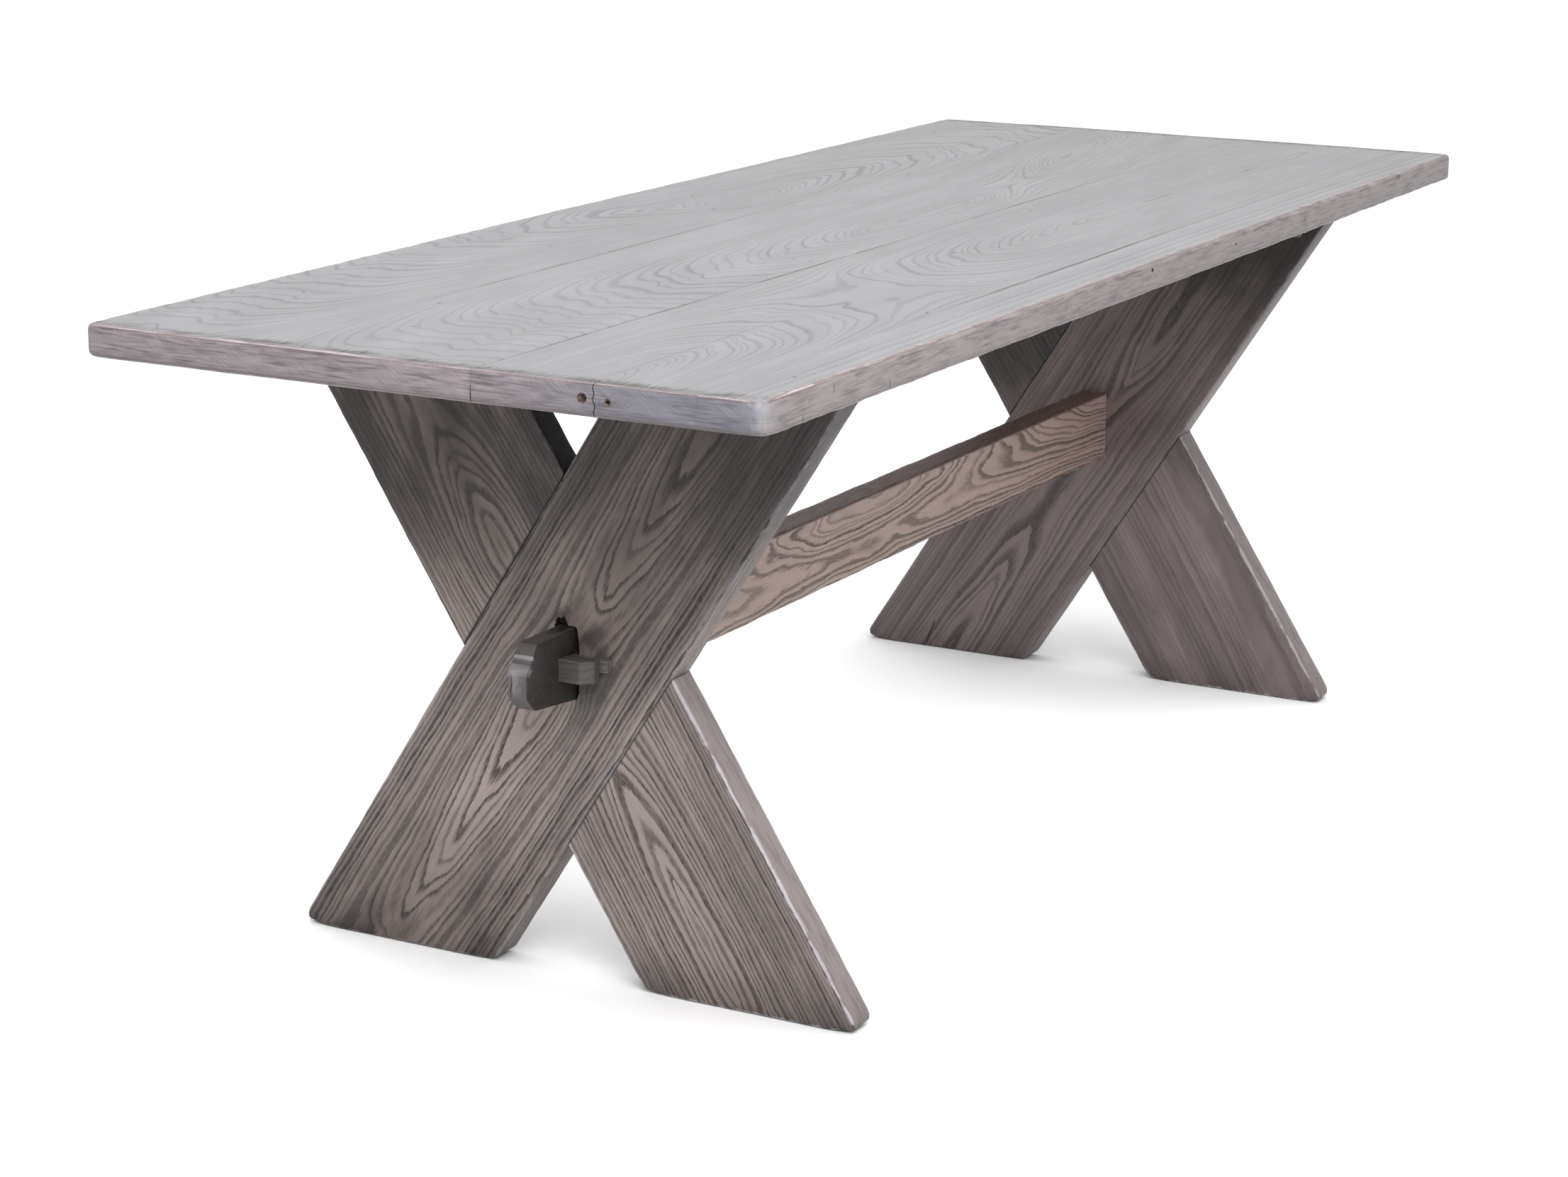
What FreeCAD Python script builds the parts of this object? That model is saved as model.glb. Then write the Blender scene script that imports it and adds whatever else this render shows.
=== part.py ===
"""Sawbuck table: an edge-jointed plank top screwed to two half-lapped X trestles.

One stretcher ties the trestles. Its tenons pass through both laps and each is locked
by a pair of folding wedges driven through the tenon.

Frame: millimetres, origin on the floor under the middle of the top, +X along the
table, +Z up. The trestle at the +X end is the one at the -X end turned half round.
"""
import FreeCAD
import Part
import Sketcher
import os
import re

# Driving sizes, in millimetres, and degrees for the slope of the legs.
SIZES = {
    # top
    "table_length": 2032.0,
    "table_height": 740.0,
    "top_thickness": 36.0,
    "plank_1_width": 223.0,
    "plank_2_width": 252.0,
    "plank_3_width": 252.0,
    "plank_4_width": 73.0,
    "top_corner_radius": 9.0,
    "top_arris_radius": 3.5,
    "tongue_thickness": 10.0,
    "tongue_width": 24.0,
    "tongue_end_stop": 60.0,
    # trestles; the crossing's height is above the middle of the legs
    "end_overhang": 288.0,
    "leg_width": 223.0,
    "leg_thickness": 40.0,
    "leg_slope": 57.5,
    "crossing_height": 9.0,
    "foot_corner_radius": 9.0,
    "leg_arris_bevel": 2.5,
    # cleats under the top, reaching past the edge planks' joint, and their screws
    "cleat_thickness": 45.0,
    "cleat_height": 40.0,
    "cleat_reach": 13.0,
    "cleat_bevel_length": 30.0,
    "cleat_bevel_rise": 20.0,
    "middle_screw_offset": 20.0,
    "end_screw_inset": 40.0,
    "leg_screw_offset": 50.0,
    "screw_diameter": 6.0,
    "screw_head_width": 12.0,
    "screw_head_height": 5.0,
    "top_screw_bite": 20.0,
    "leg_screw_bite": 25.0,
    # stretcher, its underside measured down from the crossing, and its through tenons
    "stretcher_underside": 43.0,
    "stretcher_height": 92.0,
    "stretcher_thickness": 40.0,
    "stretcher_arris_radius": 3.0,
    "tenon_foot_step": 2.0,
    "tenon_height": 80.0,
    "tenon_thickness": 24.0,
    "tenon_projection": 97.0,
    "tenon_head_length": 22.0,
    "tenon_head_drop": 26.0,
    "tenon_toe_length": 17.0,
    "tenon_toe_rise": 25.0,
    "tenon_underside_rise": 8.0,
    "tenon_arris_bevel": 1.5,
    "mortise_side_gap": 1.8,
    "mortise_top_gap": 2.0,
    # folding wedges and the slot through the tenon
    "slot_rise": 28.5,
    "slot_headroom": 0.5,
    "slot_depth": 34.0,
    "slot_relief": 4.0,
    "wedge_height": 26.0,
    "wedge_taper": 12.0,
    "wedge_head_reach": 50.0,
    "wedge_tail_reach": 46.0,
    "wedge_end_bevel": 11.0,
    "slip_middle_thickness": 15.2,
    "slip_height": 13.4,
    "slip_lift": 10.0,
    "slip_head_reach": 59.0,
    "slip_tail_reach": 40.0,
    "wedge_arris_bevel": 1.0,
    # fits
    "hole_clearance": 0.1,
    "sliding_clearance": 0.05,
}
PLANKS = ("plank_1_width", "plank_2_width", "plank_3_width", "plank_4_width")
ENDS = {"left": -1, "right": 1}

# Lengths and places that follow from the sizes, written in their aliases.
TOP_WIDTH = "(" + " + ".join(PLANKS) + ")"
UNDERSIDE = "(table_height - top_thickness)"
TRESTLE_FACE = "(table_length / 2 - end_overhang)"
SHOULDER = f"({TRESTLE_FACE} - leg_thickness)"
CROSSING = f"({UNDERSIDE} / 2 + crossing_height)"
LEG_HALF_RUN = "(leg_width / (2 * sin(leg_slope)))"
CLEAT_FOOT = f"({UNDERSIDE} - cleat_height)"
CLEAT_MIDDLE = f"({UNDERSIDE} - cleat_height / 2)"
LEG_TOP_CENTRE = f"(({CLEAT_MIDDLE} - {CROSSING}) / tan(leg_slope))"
CLEAT_HALF = f"({TOP_WIDTH} / 2 - {PLANKS[-1]} + cleat_reach)"
TOP_SCREW_INSET = "(leg_thickness + cleat_thickness / 2)"
RAIL_FOOT = f"({CROSSING} - stretcher_underside)"
RAIL_HEAD = f"({RAIL_FOOT} + stretcher_height)"
TENON_FOOT = f"({RAIL_FOOT} + tenon_foot_step)"
TENON_HEAD = f"({TENON_FOOT} + tenon_height)"
TENON_END = f"({TRESTLE_FACE} + tenon_projection)"
SLOT_FOOT = f"({TENON_FOOT} + slot_rise)"
SLOT_HEAD = f"({SLOT_FOOT} + wedge_height + slot_headroom)"

doc = FreeCAD.newDocument("SawbuckTable")
sheet = doc.addObject("Spreadsheet::Sheet", "Sizes")
for row, (alias, size) in enumerate(SIZES.items(), start=1):
    sheet.set(f"A{row}", alias)
    sheet.set(f"B{row}", str(size))
    sheet.setAlias(f"B{row}", alias)
doc.recompute()


def bound(text):
    """The same expression with each alias read from the sheet."""
    return re.sub(r"[a-z_][a-z0-9_]*", lambda m: "Sizes." + m[0] if m[0] in SIZES else m[0], text)


def number(text):
    """What an expression in the aliases comes to now."""
    return float(sheet.evalExpression(bound(text)))


def bind(obj, prop, text):
    obj.setExpression(prop, bound(text))


def new_body(label):
    body = doc.addObject("PartDesign::Body", label)
    body.Label = label
    return body


def origin_plane(body, role):
    return next(f for f in body.Origin.OriginFeatures if f.Role == role)


def new_sketch(body, name, role, offset=None):
    """A sketch on one of the body's own origin planes, moved along its normal by offset."""
    sketch = body.newObject("Sketcher::SketchObject", name)
    sketch.AttachmentSupport = (origin_plane(body, role), [""])
    sketch.MapMode = "FlatFace"
    if offset is not None:
        bind(sketch, ".AttachmentOffset.Base.z", offset)
    return sketch


def pin_point(sketch, geometry, position, name, u, v):
    """Ties a sketch point to the sketch origin by two bound distances."""
    for kind, tag, text in (("DistanceX", "u", u), ("DistanceY", "v", v)):
        index = sketch.addConstraint(
            Sketcher.Constraint(kind, -1, 1, geometry, position, number(text)))
        sketch.renameConstraint(index, f"{name}_{tag}")
        bind(sketch, f"Constraints.{name}_{tag}", text)


def polygon(body, name, role, points, offset=None):
    """A closed outline through points given as pairs of expressions."""
    sketch = new_sketch(body, name, role, offset)
    corners = [FreeCAD.Vector(number(u), number(v), 0) for u, v in points]
    for start, end in zip(corners, corners[1:] + corners[:1]):
        sketch.addGeometry(Part.LineSegment(start, end))
    count = len(points)
    for line in range(count):
        sketch.addConstraint(Sketcher.Constraint("Coincident", line, 2, (line + 1) % count, 1))
    for line, (u, v) in enumerate(points):
        pin_point(sketch, line, 1, f"corner_{line}", u, v)
    return sketch


def circles(body, name, role, centres, diameter, offset=None):
    """Circles of one diameter, their centres given as pairs of expressions."""
    sketch = new_sketch(body, name, role, offset)
    for index, (u, v) in enumerate(centres):
        centre = FreeCAD.Vector(number(u), number(v), 0)
        sketch.addGeometry(Part.Circle(centre, FreeCAD.Vector(0, 0, 1), number(diameter) / 2))
        pin_point(sketch, index, 3, f"centre_{index}", u, v)
        datum = sketch.addConstraint(Sketcher.Constraint("Diameter", index, number(diameter)))
        sketch.renameConstraint(datum, f"diameter_{index}")
        bind(sketch, f"Constraints.diameter_{index}", diameter)
    return sketch


def pad(body, sketch, length, midplane=False, against_normal=False):
    feature = body.newObject("PartDesign::Pad", sketch.Name + "Pad")
    feature.Profile = sketch
    bind(feature, "Length", length)
    feature.Midplane = midplane
    feature.Reversed = against_normal
    sketch.Visibility = False
    doc.recompute()
    return feature


def pocket(body, sketch, depth, along_normal=True, midplane=False):
    """Cuts depth into the body, and stops the build if nothing was cut."""
    before = body.Shape.Volume
    feature = body.newObject("PartDesign::Pocket", sketch.Name + "Pocket")
    feature.Profile = sketch
    bind(feature, "Length", depth)
    feature.Midplane = midplane
    feature.Reversed = along_normal
    doc.recompute()
    if body.Shape.Volume >= before:
        raise RuntimeError(f"{sketch.Name} cuts nothing")
    return feature


def ease_edges(body, name, kind, size, wanted):
    """Fillets or chamfers the edges of the body's tip for which wanted(edge) is true."""
    base = body.Tip
    names = [f"Edge{i}" for i, edge in enumerate(base.Shape.Edges, start=1) if wanted(edge)]
    feature = body.newObject(f"PartDesign::{kind}", name)
    feature.Base = (base, names)
    bind(feature, "Radius" if kind == "Fillet" else "Size", size)
    doc.recompute()
    return feature


def level(edge, axis, value, tolerance=1e-4):
    """True where the whole edge lies on the plane axis = value."""
    box = edge.BoundBox
    low, high = {"x": (box.XMin, box.XMax), "y": (box.YMin, box.YMax), "z": (box.ZMin, box.ZMax)}[axis]
    return abs(low - value) < tolerance and abs(high - value) < tolerance


def stand(obj, side):
    """Places a trestle piece, drawn from the outer face inwards along +X, at its end."""
    turn = 0 if side < 0 else 180
    obj.Placement = FreeCAD.Placement(
        FreeCAD.Vector(), FreeCAD.Rotation(FreeCAD.Vector(0, 0, 1), turn))
    bind(obj, "Placement.Base.x", f"{side} * {TRESTLE_FACE}")


# ---------------------------------------------------------------- top planks and tongues

def joint_line(count):
    """Across-table place of the joint below the first count planks."""
    return "(" + " - ".join([f"{TOP_WIDTH} / 2", *PLANKS[:count]]) + ")"


def top_screw_rows():
    """Across-table places of the cleats' upright screws: two astride the middle joint, two near the ends."""
    middle = [f"({joint_line(2)} + {sign} * middle_screw_offset)" for sign in (-1, 1)]
    outer = [f"({sign} * ({CLEAT_HALF} - end_screw_inset))" for sign in (-1, 1)]
    return middle + outer


def top_screw_places():
    """Where the cleats' upright screws enter the underside, in the table's own frame."""
    along = [f"{side} * ({TRESTLE_FACE} - {TOP_SCREW_INSET})" for side in ENDS.values()]
    return [(x, y) for x in along for y in top_screw_rows()]


def make_plank(index):
    """One plank of the top: square joint edges, eased ends and outer edge."""
    width = PLANKS[index]
    body = new_body(f"top_plank_{index + 1}")
    half_length = "table_length / 2"
    outline = polygon(body, f"PlankOutline{index + 1}", "XY_Plane", [
        (f"-{half_length}", f"-{width} / 2"),
        (half_length, f"-{width} / 2"),
        (half_length, f"{width} / 2"),
        (f"-{half_length}", f"{width} / 2"),
    ])
    pad(body, outline, "top_thickness")

    last = len(PLANKS) - 1
    half_width = number(width) / 2
    joint_sides = [side for side, first in ((half_width, 0), (-half_width, last)) if index != first]
    outer_sides = [side for side in (half_width, -half_width) if side not in joint_sides]
    if outer_sides:
        ease_edges(body, f"PlankCorners{index + 1}", "Fillet", "top_corner_radius",
                   lambda edge: any(level(edge, "y", side) for side in outer_sides)
                   and (level(edge, "x", number(half_length)) or level(edge, "x", -number(half_length))))
    thickness = number("top_thickness")
    ease_edges(body, f"PlankArrises{index + 1}", "Fillet", "top_arris_radius",
               lambda edge: (level(edge, "z", 0) or level(edge, "z", thickness))
               and not any(level(edge, "y", side) for side in joint_sides))

    groove_joint_edges(body, index, last)
    middle = f"({joint_line(index)} - {width} / 2)"
    radius = number("screw_diameter / 2 + hole_clearance")
    entries = [(x, f"{y} - {middle}") for x, y in top_screw_places()]
    entries = [(x, y) for x, y in entries if abs(number(y)) < half_width + radius]
    if entries:
        pilots = circles(body, f"PlankPilots{index + 1}", "XY_Plane", entries,
                         "screw_diameter + hole_clearance")
        pocket(body, pilots, "top_screw_bite + hole_clearance")

    bind(body, "Placement.Base.y", middle)
    bind(body, "Placement.Base.z", UNDERSIDE)
    return body


def groove_joint_edges(body, index, last):
    """Stopped grooves in the joint edges: the +Y edge is cut towards -Y, the -Y edge towards +Y."""
    half_length = "(table_length / 2 - tongue_end_stop)"
    low = "(top_thickness - tongue_thickness) / 2"
    high = "(top_thickness + tongue_thickness) / 2"
    for sign, has_joint in ((1, index > 0), (-1, index < last)):
        if not has_joint:
            continue
        side = "Upper" if sign > 0 else "Lower"
        groove = polygon(body, f"Plank{index + 1}{side}Groove", "XZ_Plane", [
            (f"-{half_length}", low),
            (half_length, low),
            (half_length, high),
            (f"-{half_length}", high),
        ], f"{-sign} * {PLANKS[index]} / 2")
        pocket(body, groove, "tongue_width / 2 + hole_clearance", along_normal=sign > 0)


def make_tongue(joint):
    """The loose tongue in one edge joint, stopped short of the table's ends."""
    label = f"top_joint_{joint}_tongue"
    tongue = doc.addObject("Part::Box", label)
    tongue.Label = label
    bind(tongue, "Length", "table_length - 2 * tongue_end_stop")
    bind(tongue, "Width", "tongue_width")
    bind(tongue, "Height", "tongue_thickness")
    bind(tongue, "Placement.Base.x", "tongue_end_stop - table_length / 2")
    bind(tongue, "Placement.Base.y", f"{joint_line(joint)} - tongue_width / 2")
    bind(tongue, "Placement.Base.z", f"{UNDERSIDE} + (top_thickness - tongue_thickness) / 2")
    return tongue


def group(label, solids):
    node = doc.addObject("Part::Compound", label)
    node.Label = label
    node.Links = solids
    return node


# ---------------------------------------------------------------- trestles

def leg_edge(lean, side, height):
    """Across-table place of one edge of a leg at a height; lean -1 rises towards -Y."""
    middle = f"{lean} * ({height} - {CROSSING}) / tan(leg_slope)"
    return f"({middle} + {side} * {LEG_HALF_RUN})"


def leg_outline(lean, low, high):
    return [
        (leg_edge(lean, -1, low), low),
        (leg_edge(lean, 1, low), low),
        (leg_edge(lean, 1, high), high),
        (leg_edge(lean, -1, high), high),
    ]


def make_leg(end, name, lean, lap_from, lap_along_x):
    """One crossed board with its half lap, its share of the mortise and its screw pilots."""
    label = f"{end}_trestle_{name}_leg"
    tag = f"{end.title()}{name.title()}"
    body = new_body(label)
    pad(body, polygon(body, f"{tag}Outline", "YZ_Plane", leg_outline(lean, "0", UNDERSIDE)),
        "leg_thickness")
    ease_edges(body, f"{tag}FootCorners", "Fillet", "foot_corner_radius",
               lambda edge: level(edge, "z", 0) and edge.BoundBox.XLength > edge.BoundBox.YLength)
    thickness = number("leg_thickness")
    ease_edges(body, f"{tag}Arrises", "Chamfer", "leg_arris_bevel",
               lambda edge: (level(edge, "x", 0) or level(edge, "x", thickness))
               and not level(edge, "z", number(UNDERSIDE)))

    crossing_band = "(leg_width / (2 * cos(leg_slope)))"
    lap = polygon(body, f"{tag}Lap", "YZ_Plane", leg_outline(
        -lean, f"({CROSSING} - {crossing_band})", f"({CROSSING} + {crossing_band})"), lap_from)
    pocket(body, lap, "leg_thickness / 2", along_normal=lap_along_x)

    half_mortise = "(tenon_thickness / 2 + mortise_side_gap)"
    mortise_head = f"({TENON_HEAD} + mortise_top_gap)"
    mortise = polygon(body, f"{tag}Mortise", "YZ_Plane", [
        (f"-{half_mortise}", TENON_FOOT),
        (half_mortise, TENON_FOOT),
        (half_mortise, mortise_head),
        (f"-{half_mortise}", mortise_head),
    ])
    pocket(body, mortise, "leg_thickness")

    pilots = circles(body, f"{tag}Pilots", "YZ_Plane",
                     [(f"{lean} * ({LEG_TOP_CENTRE} + {step} * leg_screw_offset)", CLEAT_MIDDLE)
                      for step in (-1, 1)],
                     "screw_diameter + hole_clearance", "leg_thickness")
    pocket(body, pilots, "leg_screw_bite + hole_clearance", along_normal=False)
    stand(body, ENDS[end])
    return body


def make_cleat(end):
    """The bar screwed to the inner faces of the leg tops and up into the planks."""
    tag = end.title() + "Cleat"
    body = new_body(f"{end}_top_cleat")
    bevel_top = f"({CLEAT_FOOT} + cleat_bevel_rise)"
    bevel_end = f"({CLEAT_HALF} - cleat_bevel_length)"
    profile = polygon(body, f"{tag}Profile", "YZ_Plane", [
        (f"-{bevel_end}", CLEAT_FOOT),
        (bevel_end, CLEAT_FOOT),
        (CLEAT_HALF, bevel_top),
        (CLEAT_HALF, UNDERSIDE),
        (f"-{CLEAT_HALF}", UNDERSIDE),
        (f"-{CLEAT_HALF}", bevel_top),
    ], "leg_thickness")
    pad(body, profile, "cleat_thickness")

    uprights = [(TOP_SCREW_INSET, f"{-ENDS[end]} * {row}") for row in top_screw_rows()]
    sideways = [(f"{sign} * ({LEG_TOP_CENTRE} + {step} * leg_screw_offset)", CLEAT_MIDDLE)
                for sign in (-1, 1) for step in (-1, 1)]
    inner_face = "leg_thickness + cleat_thickness"
    for name, role, places, face, depth, upwards in (
            ("Upright", "XY_Plane", uprights, CLEAT_FOOT, "cleat_height", True),
            ("Sideways", "YZ_Plane", sideways, inner_face, "cleat_thickness", False)):
        bores = circles(body, f"{tag}{name}Bores", role, places, "screw_diameter + hole_clearance", face)
        pocket(body, bores, depth, along_normal=upwards)
    stand(body, ENDS[end])
    return body


def make_screw(name, length, rotation, x, y, z):
    """A square-headed coach screw; the head bears at the given point, the shank along local +Z."""
    head = doc.addObject("Part::Box", name + "Head")
    bind(head, "Length", "screw_head_width")
    bind(head, "Width", "screw_head_width")
    bind(head, "Height", "screw_head_height")
    bind(head, "Placement.Base.x", "-screw_head_width / 2")
    bind(head, "Placement.Base.y", "-screw_head_width / 2")
    bind(head, "Placement.Base.z", "-screw_head_height")
    shank = doc.addObject("Part::Cylinder", name + "Shank")
    bind(shank, "Radius", "screw_diameter / 2")
    bind(shank, "Height", length)
    screw = doc.addObject("Part::MultiFuse", name)
    screw.Shapes = [head, shank]
    screw.Placement.Rotation = rotation
    for axis, place in (("x", x), ("y", y), ("z", z)):
        bind(screw, f"Placement.Base.{axis}", place)
    return screw


def make_top_screws(end):
    """Screws that rise through the cleat into the planks."""
    screws = [make_screw(f"{end.title()}TopScrew{index}", "cleat_height + top_screw_bite",
                         FreeCAD.Rotation(), TOP_SCREW_INSET, f"{-ENDS[end]} * {row}", CLEAT_FOOT)
              for index, row in enumerate(top_screw_rows())]
    node = group(f"{end}_cleat_top_screws", screws)
    stand(node, ENDS[end])
    return node


def make_leg_screws(end):
    """Screws that pass outwards through the cleat into the leg tops."""
    outwards = FreeCAD.Rotation(FreeCAD.Vector(0, 1, 0), -90)
    places = [f"{sign} * ({LEG_TOP_CENTRE} + {step} * leg_screw_offset)"
              for sign in (-1, 1) for step in (-1, 1)]
    screws = [make_screw(f"{end.title()}LegScrew{index}", "cleat_thickness + leg_screw_bite",
                         outwards, "leg_thickness + cleat_thickness", place, CLEAT_MIDDLE)
              for index, place in enumerate(places)]
    node = group(f"{end}_cleat_leg_screws", screws)
    stand(node, ENDS[end])
    return node


# ---------------------------------------------------------------- stretcher and wedges

def make_stretcher():
    """The rail between the trestles with its shaped through tenons and their wedge slots."""
    body = new_body("stretcher")
    rail = polygon(body, "RailSide", "XZ_Plane", [
        (f"-{SHOULDER}", RAIL_FOOT),
        (SHOULDER, RAIL_FOOT),
        (SHOULDER, RAIL_HEAD),
        (f"-{SHOULDER}", RAIL_HEAD),
    ])
    pad(body, rail, "stretcher_thickness", midplane=True)
    ease_edges(body, "RailArrises", "Fillet", "stretcher_arris_radius",
               lambda edge: edge.BoundBox.XLength > number(SHOULDER))

    head_start = f"-({TENON_END} - tenon_head_length)"
    toe_start = f"-({TENON_END} - tenon_toe_length)"
    tenon = polygon(body, "TenonSide", "XZ_Plane", [
        (f"-{SHOULDER}", TENON_FOOT),
        (f"-{SHOULDER}", TENON_HEAD),
        (head_start, TENON_HEAD),
        (f"-({TENON_END} - tenon_head_length / 2)", f"{TENON_HEAD} - tenon_head_drop * 0.6"),
        (f"-{TENON_END}", f"{TENON_HEAD} - tenon_head_drop"),
        (f"-{TENON_END}", f"{TENON_FOOT} + tenon_toe_rise"),
        (toe_start, f"{TENON_FOOT} + tenon_underside_rise"),
        (f"-{TRESTLE_FACE}", TENON_FOOT),
    ])
    tenon_pad = pad(body, tenon, "tenon_thickness", midplane=True)
    slot = polygon(body, "WedgeSlotSide", "XZ_Plane", [
        (f"-({TRESTLE_FACE} + slot_depth)", SLOT_FOOT),
        (f"-({TRESTLE_FACE} - slot_relief)", SLOT_FOOT),
        (f"-({TRESTLE_FACE} - slot_relief)", SLOT_HEAD),
        (f"-({TRESTLE_FACE} + slot_depth)", SLOT_HEAD),
    ])
    slot_cut = pocket(body, slot, "2 * tenon_thickness", midplane=True)
    other_end = body.newObject("PartDesign::Mirrored", "OtherTenon")
    other_end.Originals = [tenon_pad, slot_cut]
    other_end.MirrorPlane = (origin_plane(body, "YZ_Plane"), [""])
    body.Tip = other_end
    doc.recompute()

    half = number("tenon_thickness / 2")
    beyond = number(TRESTLE_FACE)
    slot_end = number(f"{TRESTLE_FACE} + slot_depth")
    ease_edges(body, "TenonArrises", "Chamfer", "tenon_arris_bevel",
               lambda edge: (level(edge, "y", half) or level(edge, "y", -half))
               and max(abs(edge.BoundBox.XMin), abs(edge.BoundBox.XMax)) > slot_end
               and min(abs(edge.BoundBox.XMin), abs(edge.BoundBox.XMax)) > beyond)
    return body


def split_line(place):
    """How far from the leg the sloping faces of the wedge pair meet, at a place across the table."""
    return f"(slip_middle_thickness + ({place}) / wedge_taper)"


def finish_wedge(end, name, points, height, foot):
    """Pads a wedge's plan and eases its edges."""
    tag = f"{end.title()}{name.title().replace('_', '')}"
    body = new_body(f"{end}_{name}")
    pad(body, polygon(body, f"{tag}Plan", "XY_Plane", points, foot), height)
    ease_edges(body, f"{tag}Arrises", "Chamfer", "wedge_arris_bevel", lambda edge: True)
    stand(body, ENDS[end])
    return body


def make_key_wedge(end):
    """The wedge that is driven home, its thick end at -Y, its straight face against the tenon."""
    head = "-wedge_head_reach"
    tail = "wedge_tail_reach"
    straight = "-(slot_depth - sliding_clearance)"
    return finish_wedge(end, "key_wedge", [
        (straight, f"{head} + wedge_end_bevel"),
        (f"-({split_line(head)} + sliding_clearance)", head),
        (f"-({split_line(tail)} + sliding_clearance)", tail),
        (straight, tail),
    ], "wedge_height", f"{SLOT_FOOT} + sliding_clearance")


def make_slip_wedge(end):
    """The counter wedge against the leg, its thick end at +Y."""
    head = "-slip_head_reach"
    tail = "slip_tail_reach"
    return finish_wedge(end, "slip_wedge", [
        ("-sliding_clearance", head),
        ("-sliding_clearance", tail),
        (f"-{split_line(tail)}", tail),
        (f"-{split_line(head)}", head),
    ], "slip_height", f"{SLOT_FOOT} + slip_lift")


# ---------------------------------------------------------------- build, check and export

nodes = [make_plank(index) for index in range(len(PLANKS))]
nodes += [make_tongue(joint) for joint in range(1, len(PLANKS))]
for end_name in ENDS:
    nodes.append(make_leg(end_name, "outer", lean=-1, lap_from="leg_thickness", lap_along_x=False))
    nodes.append(make_leg(end_name, "inner", lean=1, lap_from="0", lap_along_x=True))
    nodes.append(make_cleat(end_name))
    nodes.append(make_top_screws(end_name))
    nodes.append(make_leg_screws(end_name))
    nodes.append(make_key_wedge(end_name))
    nodes.append(make_slip_wedge(end_name))
nodes.append(make_stretcher())
doc.recompute()

for item in doc.Objects:
    if "Invalid" in item.State or "Error" in item.State:
        raise RuntimeError(f"{item.Label} did not compute: {item.State}")
for node in nodes:
    if node.Shape.isNull() or not node.Shape.isValid():
        raise RuntimeError(f"{node.Label} has no valid shape")

os.makedirs("parts", exist_ok=True)
for node in nodes:
    node.Shape.exportStep(f"parts/{node.Label}.step")
    print(node.Label, len(node.Shape.Solids), round(node.Shape.Volume / 1000, 1), "cm3")
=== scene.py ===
"""Sawbuck table in worn grey timber: planked top, crossed legs, wedged stretcher, cleats, screws.

Lengths are in millimetres here and in metres in the scene, both in the table's own frame:
+X along the top, +Y across it, +Z up, origin on the floor.
"""
import math

import bmesh
import bpy
import numpy as np
from mathutils import Matrix, Vector


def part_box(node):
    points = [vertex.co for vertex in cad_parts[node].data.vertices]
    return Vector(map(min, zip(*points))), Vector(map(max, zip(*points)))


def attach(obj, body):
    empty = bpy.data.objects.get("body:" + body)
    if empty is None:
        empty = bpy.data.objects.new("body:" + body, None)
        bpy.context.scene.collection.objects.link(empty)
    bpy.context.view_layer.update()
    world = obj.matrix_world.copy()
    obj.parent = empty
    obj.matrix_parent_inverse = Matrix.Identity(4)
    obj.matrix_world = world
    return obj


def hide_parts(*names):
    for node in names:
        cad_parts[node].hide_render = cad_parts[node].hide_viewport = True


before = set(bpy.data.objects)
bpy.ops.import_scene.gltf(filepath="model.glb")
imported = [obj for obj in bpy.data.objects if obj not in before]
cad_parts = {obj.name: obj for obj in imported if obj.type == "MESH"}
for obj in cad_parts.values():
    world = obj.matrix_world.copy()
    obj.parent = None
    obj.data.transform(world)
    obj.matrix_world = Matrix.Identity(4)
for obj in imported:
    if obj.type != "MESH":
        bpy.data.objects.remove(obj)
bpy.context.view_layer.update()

MM = 0.001

# ---------------------------------------------------------------- sizes of the pieces
TRESTLE_FACE = 728.0
LEG_THICKNESS = 40.0
LEG_WIDTH = 223.0
LEG_SLOPE = math.radians(57.5)
LEG_TOP = 704.0
CROSSING = 361.0
MORTISE = (13.8, 320.0, 402.0)
TENON_HALF = 12.0
SLOT = (724.0, 762.0, 348.5, 375.0)
JOINT_ARRIS = 0.25
CLEAT_HALF = 340.0
CLEAT_SPAN = (643.0, 688.0)
CLEAT_HEIGHT = (664.0, 704.0)
CLEAT_BEVEL = (30.0, 20.0)


# ---------------------------------------------------------------- meshes
CORNERS = ((1, 1), (-1, 1), (-1, -1), (1, -1))
ROUND_TURNS = np.linspace(0.0, math.pi / 2.0, 6)


def sway(along, seed, wave):
    """A slow wander between about -1 and 1, with waves about that long."""
    turn = 2.0 * math.pi * np.asarray(along, float) / wave
    first = np.sin(turn + 1.7 * seed)
    second = 0.6 * np.sin(1.93 * turn + 4.1 * seed + 1.0)
    third = 0.4 * np.sin(3.71 * turn + 2.3 * seed)
    return (first + second + third) / 2.0


def inset(distance, radius):
    """How far a rounded corner has drawn in, at a distance from the end."""
    inside = np.clip(radius - distance, 0.0, radius)
    return radius - np.sqrt(np.maximum(radius * radius - inside * inside, 0.0))


def stations(low, high, step, radii):
    """Places along a board: even steps, and closer ones round each end."""
    count = max(2, int(round((high - low) / step)))
    places = {low, high, *np.linspace(low, high, count + 1)[1:-1]}
    for radius in radii:
        for turn in ROUND_TURNS:
            places.add(low + radius * (1.0 - math.sin(turn)))
            places.add(high - radius * (1.0 - math.sin(turn)))
    kept = []
    for place in sorted(places):
        if not kept or place - kept[-1] > 0.08:
            kept.append(place)
    return np.array(kept)


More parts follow.
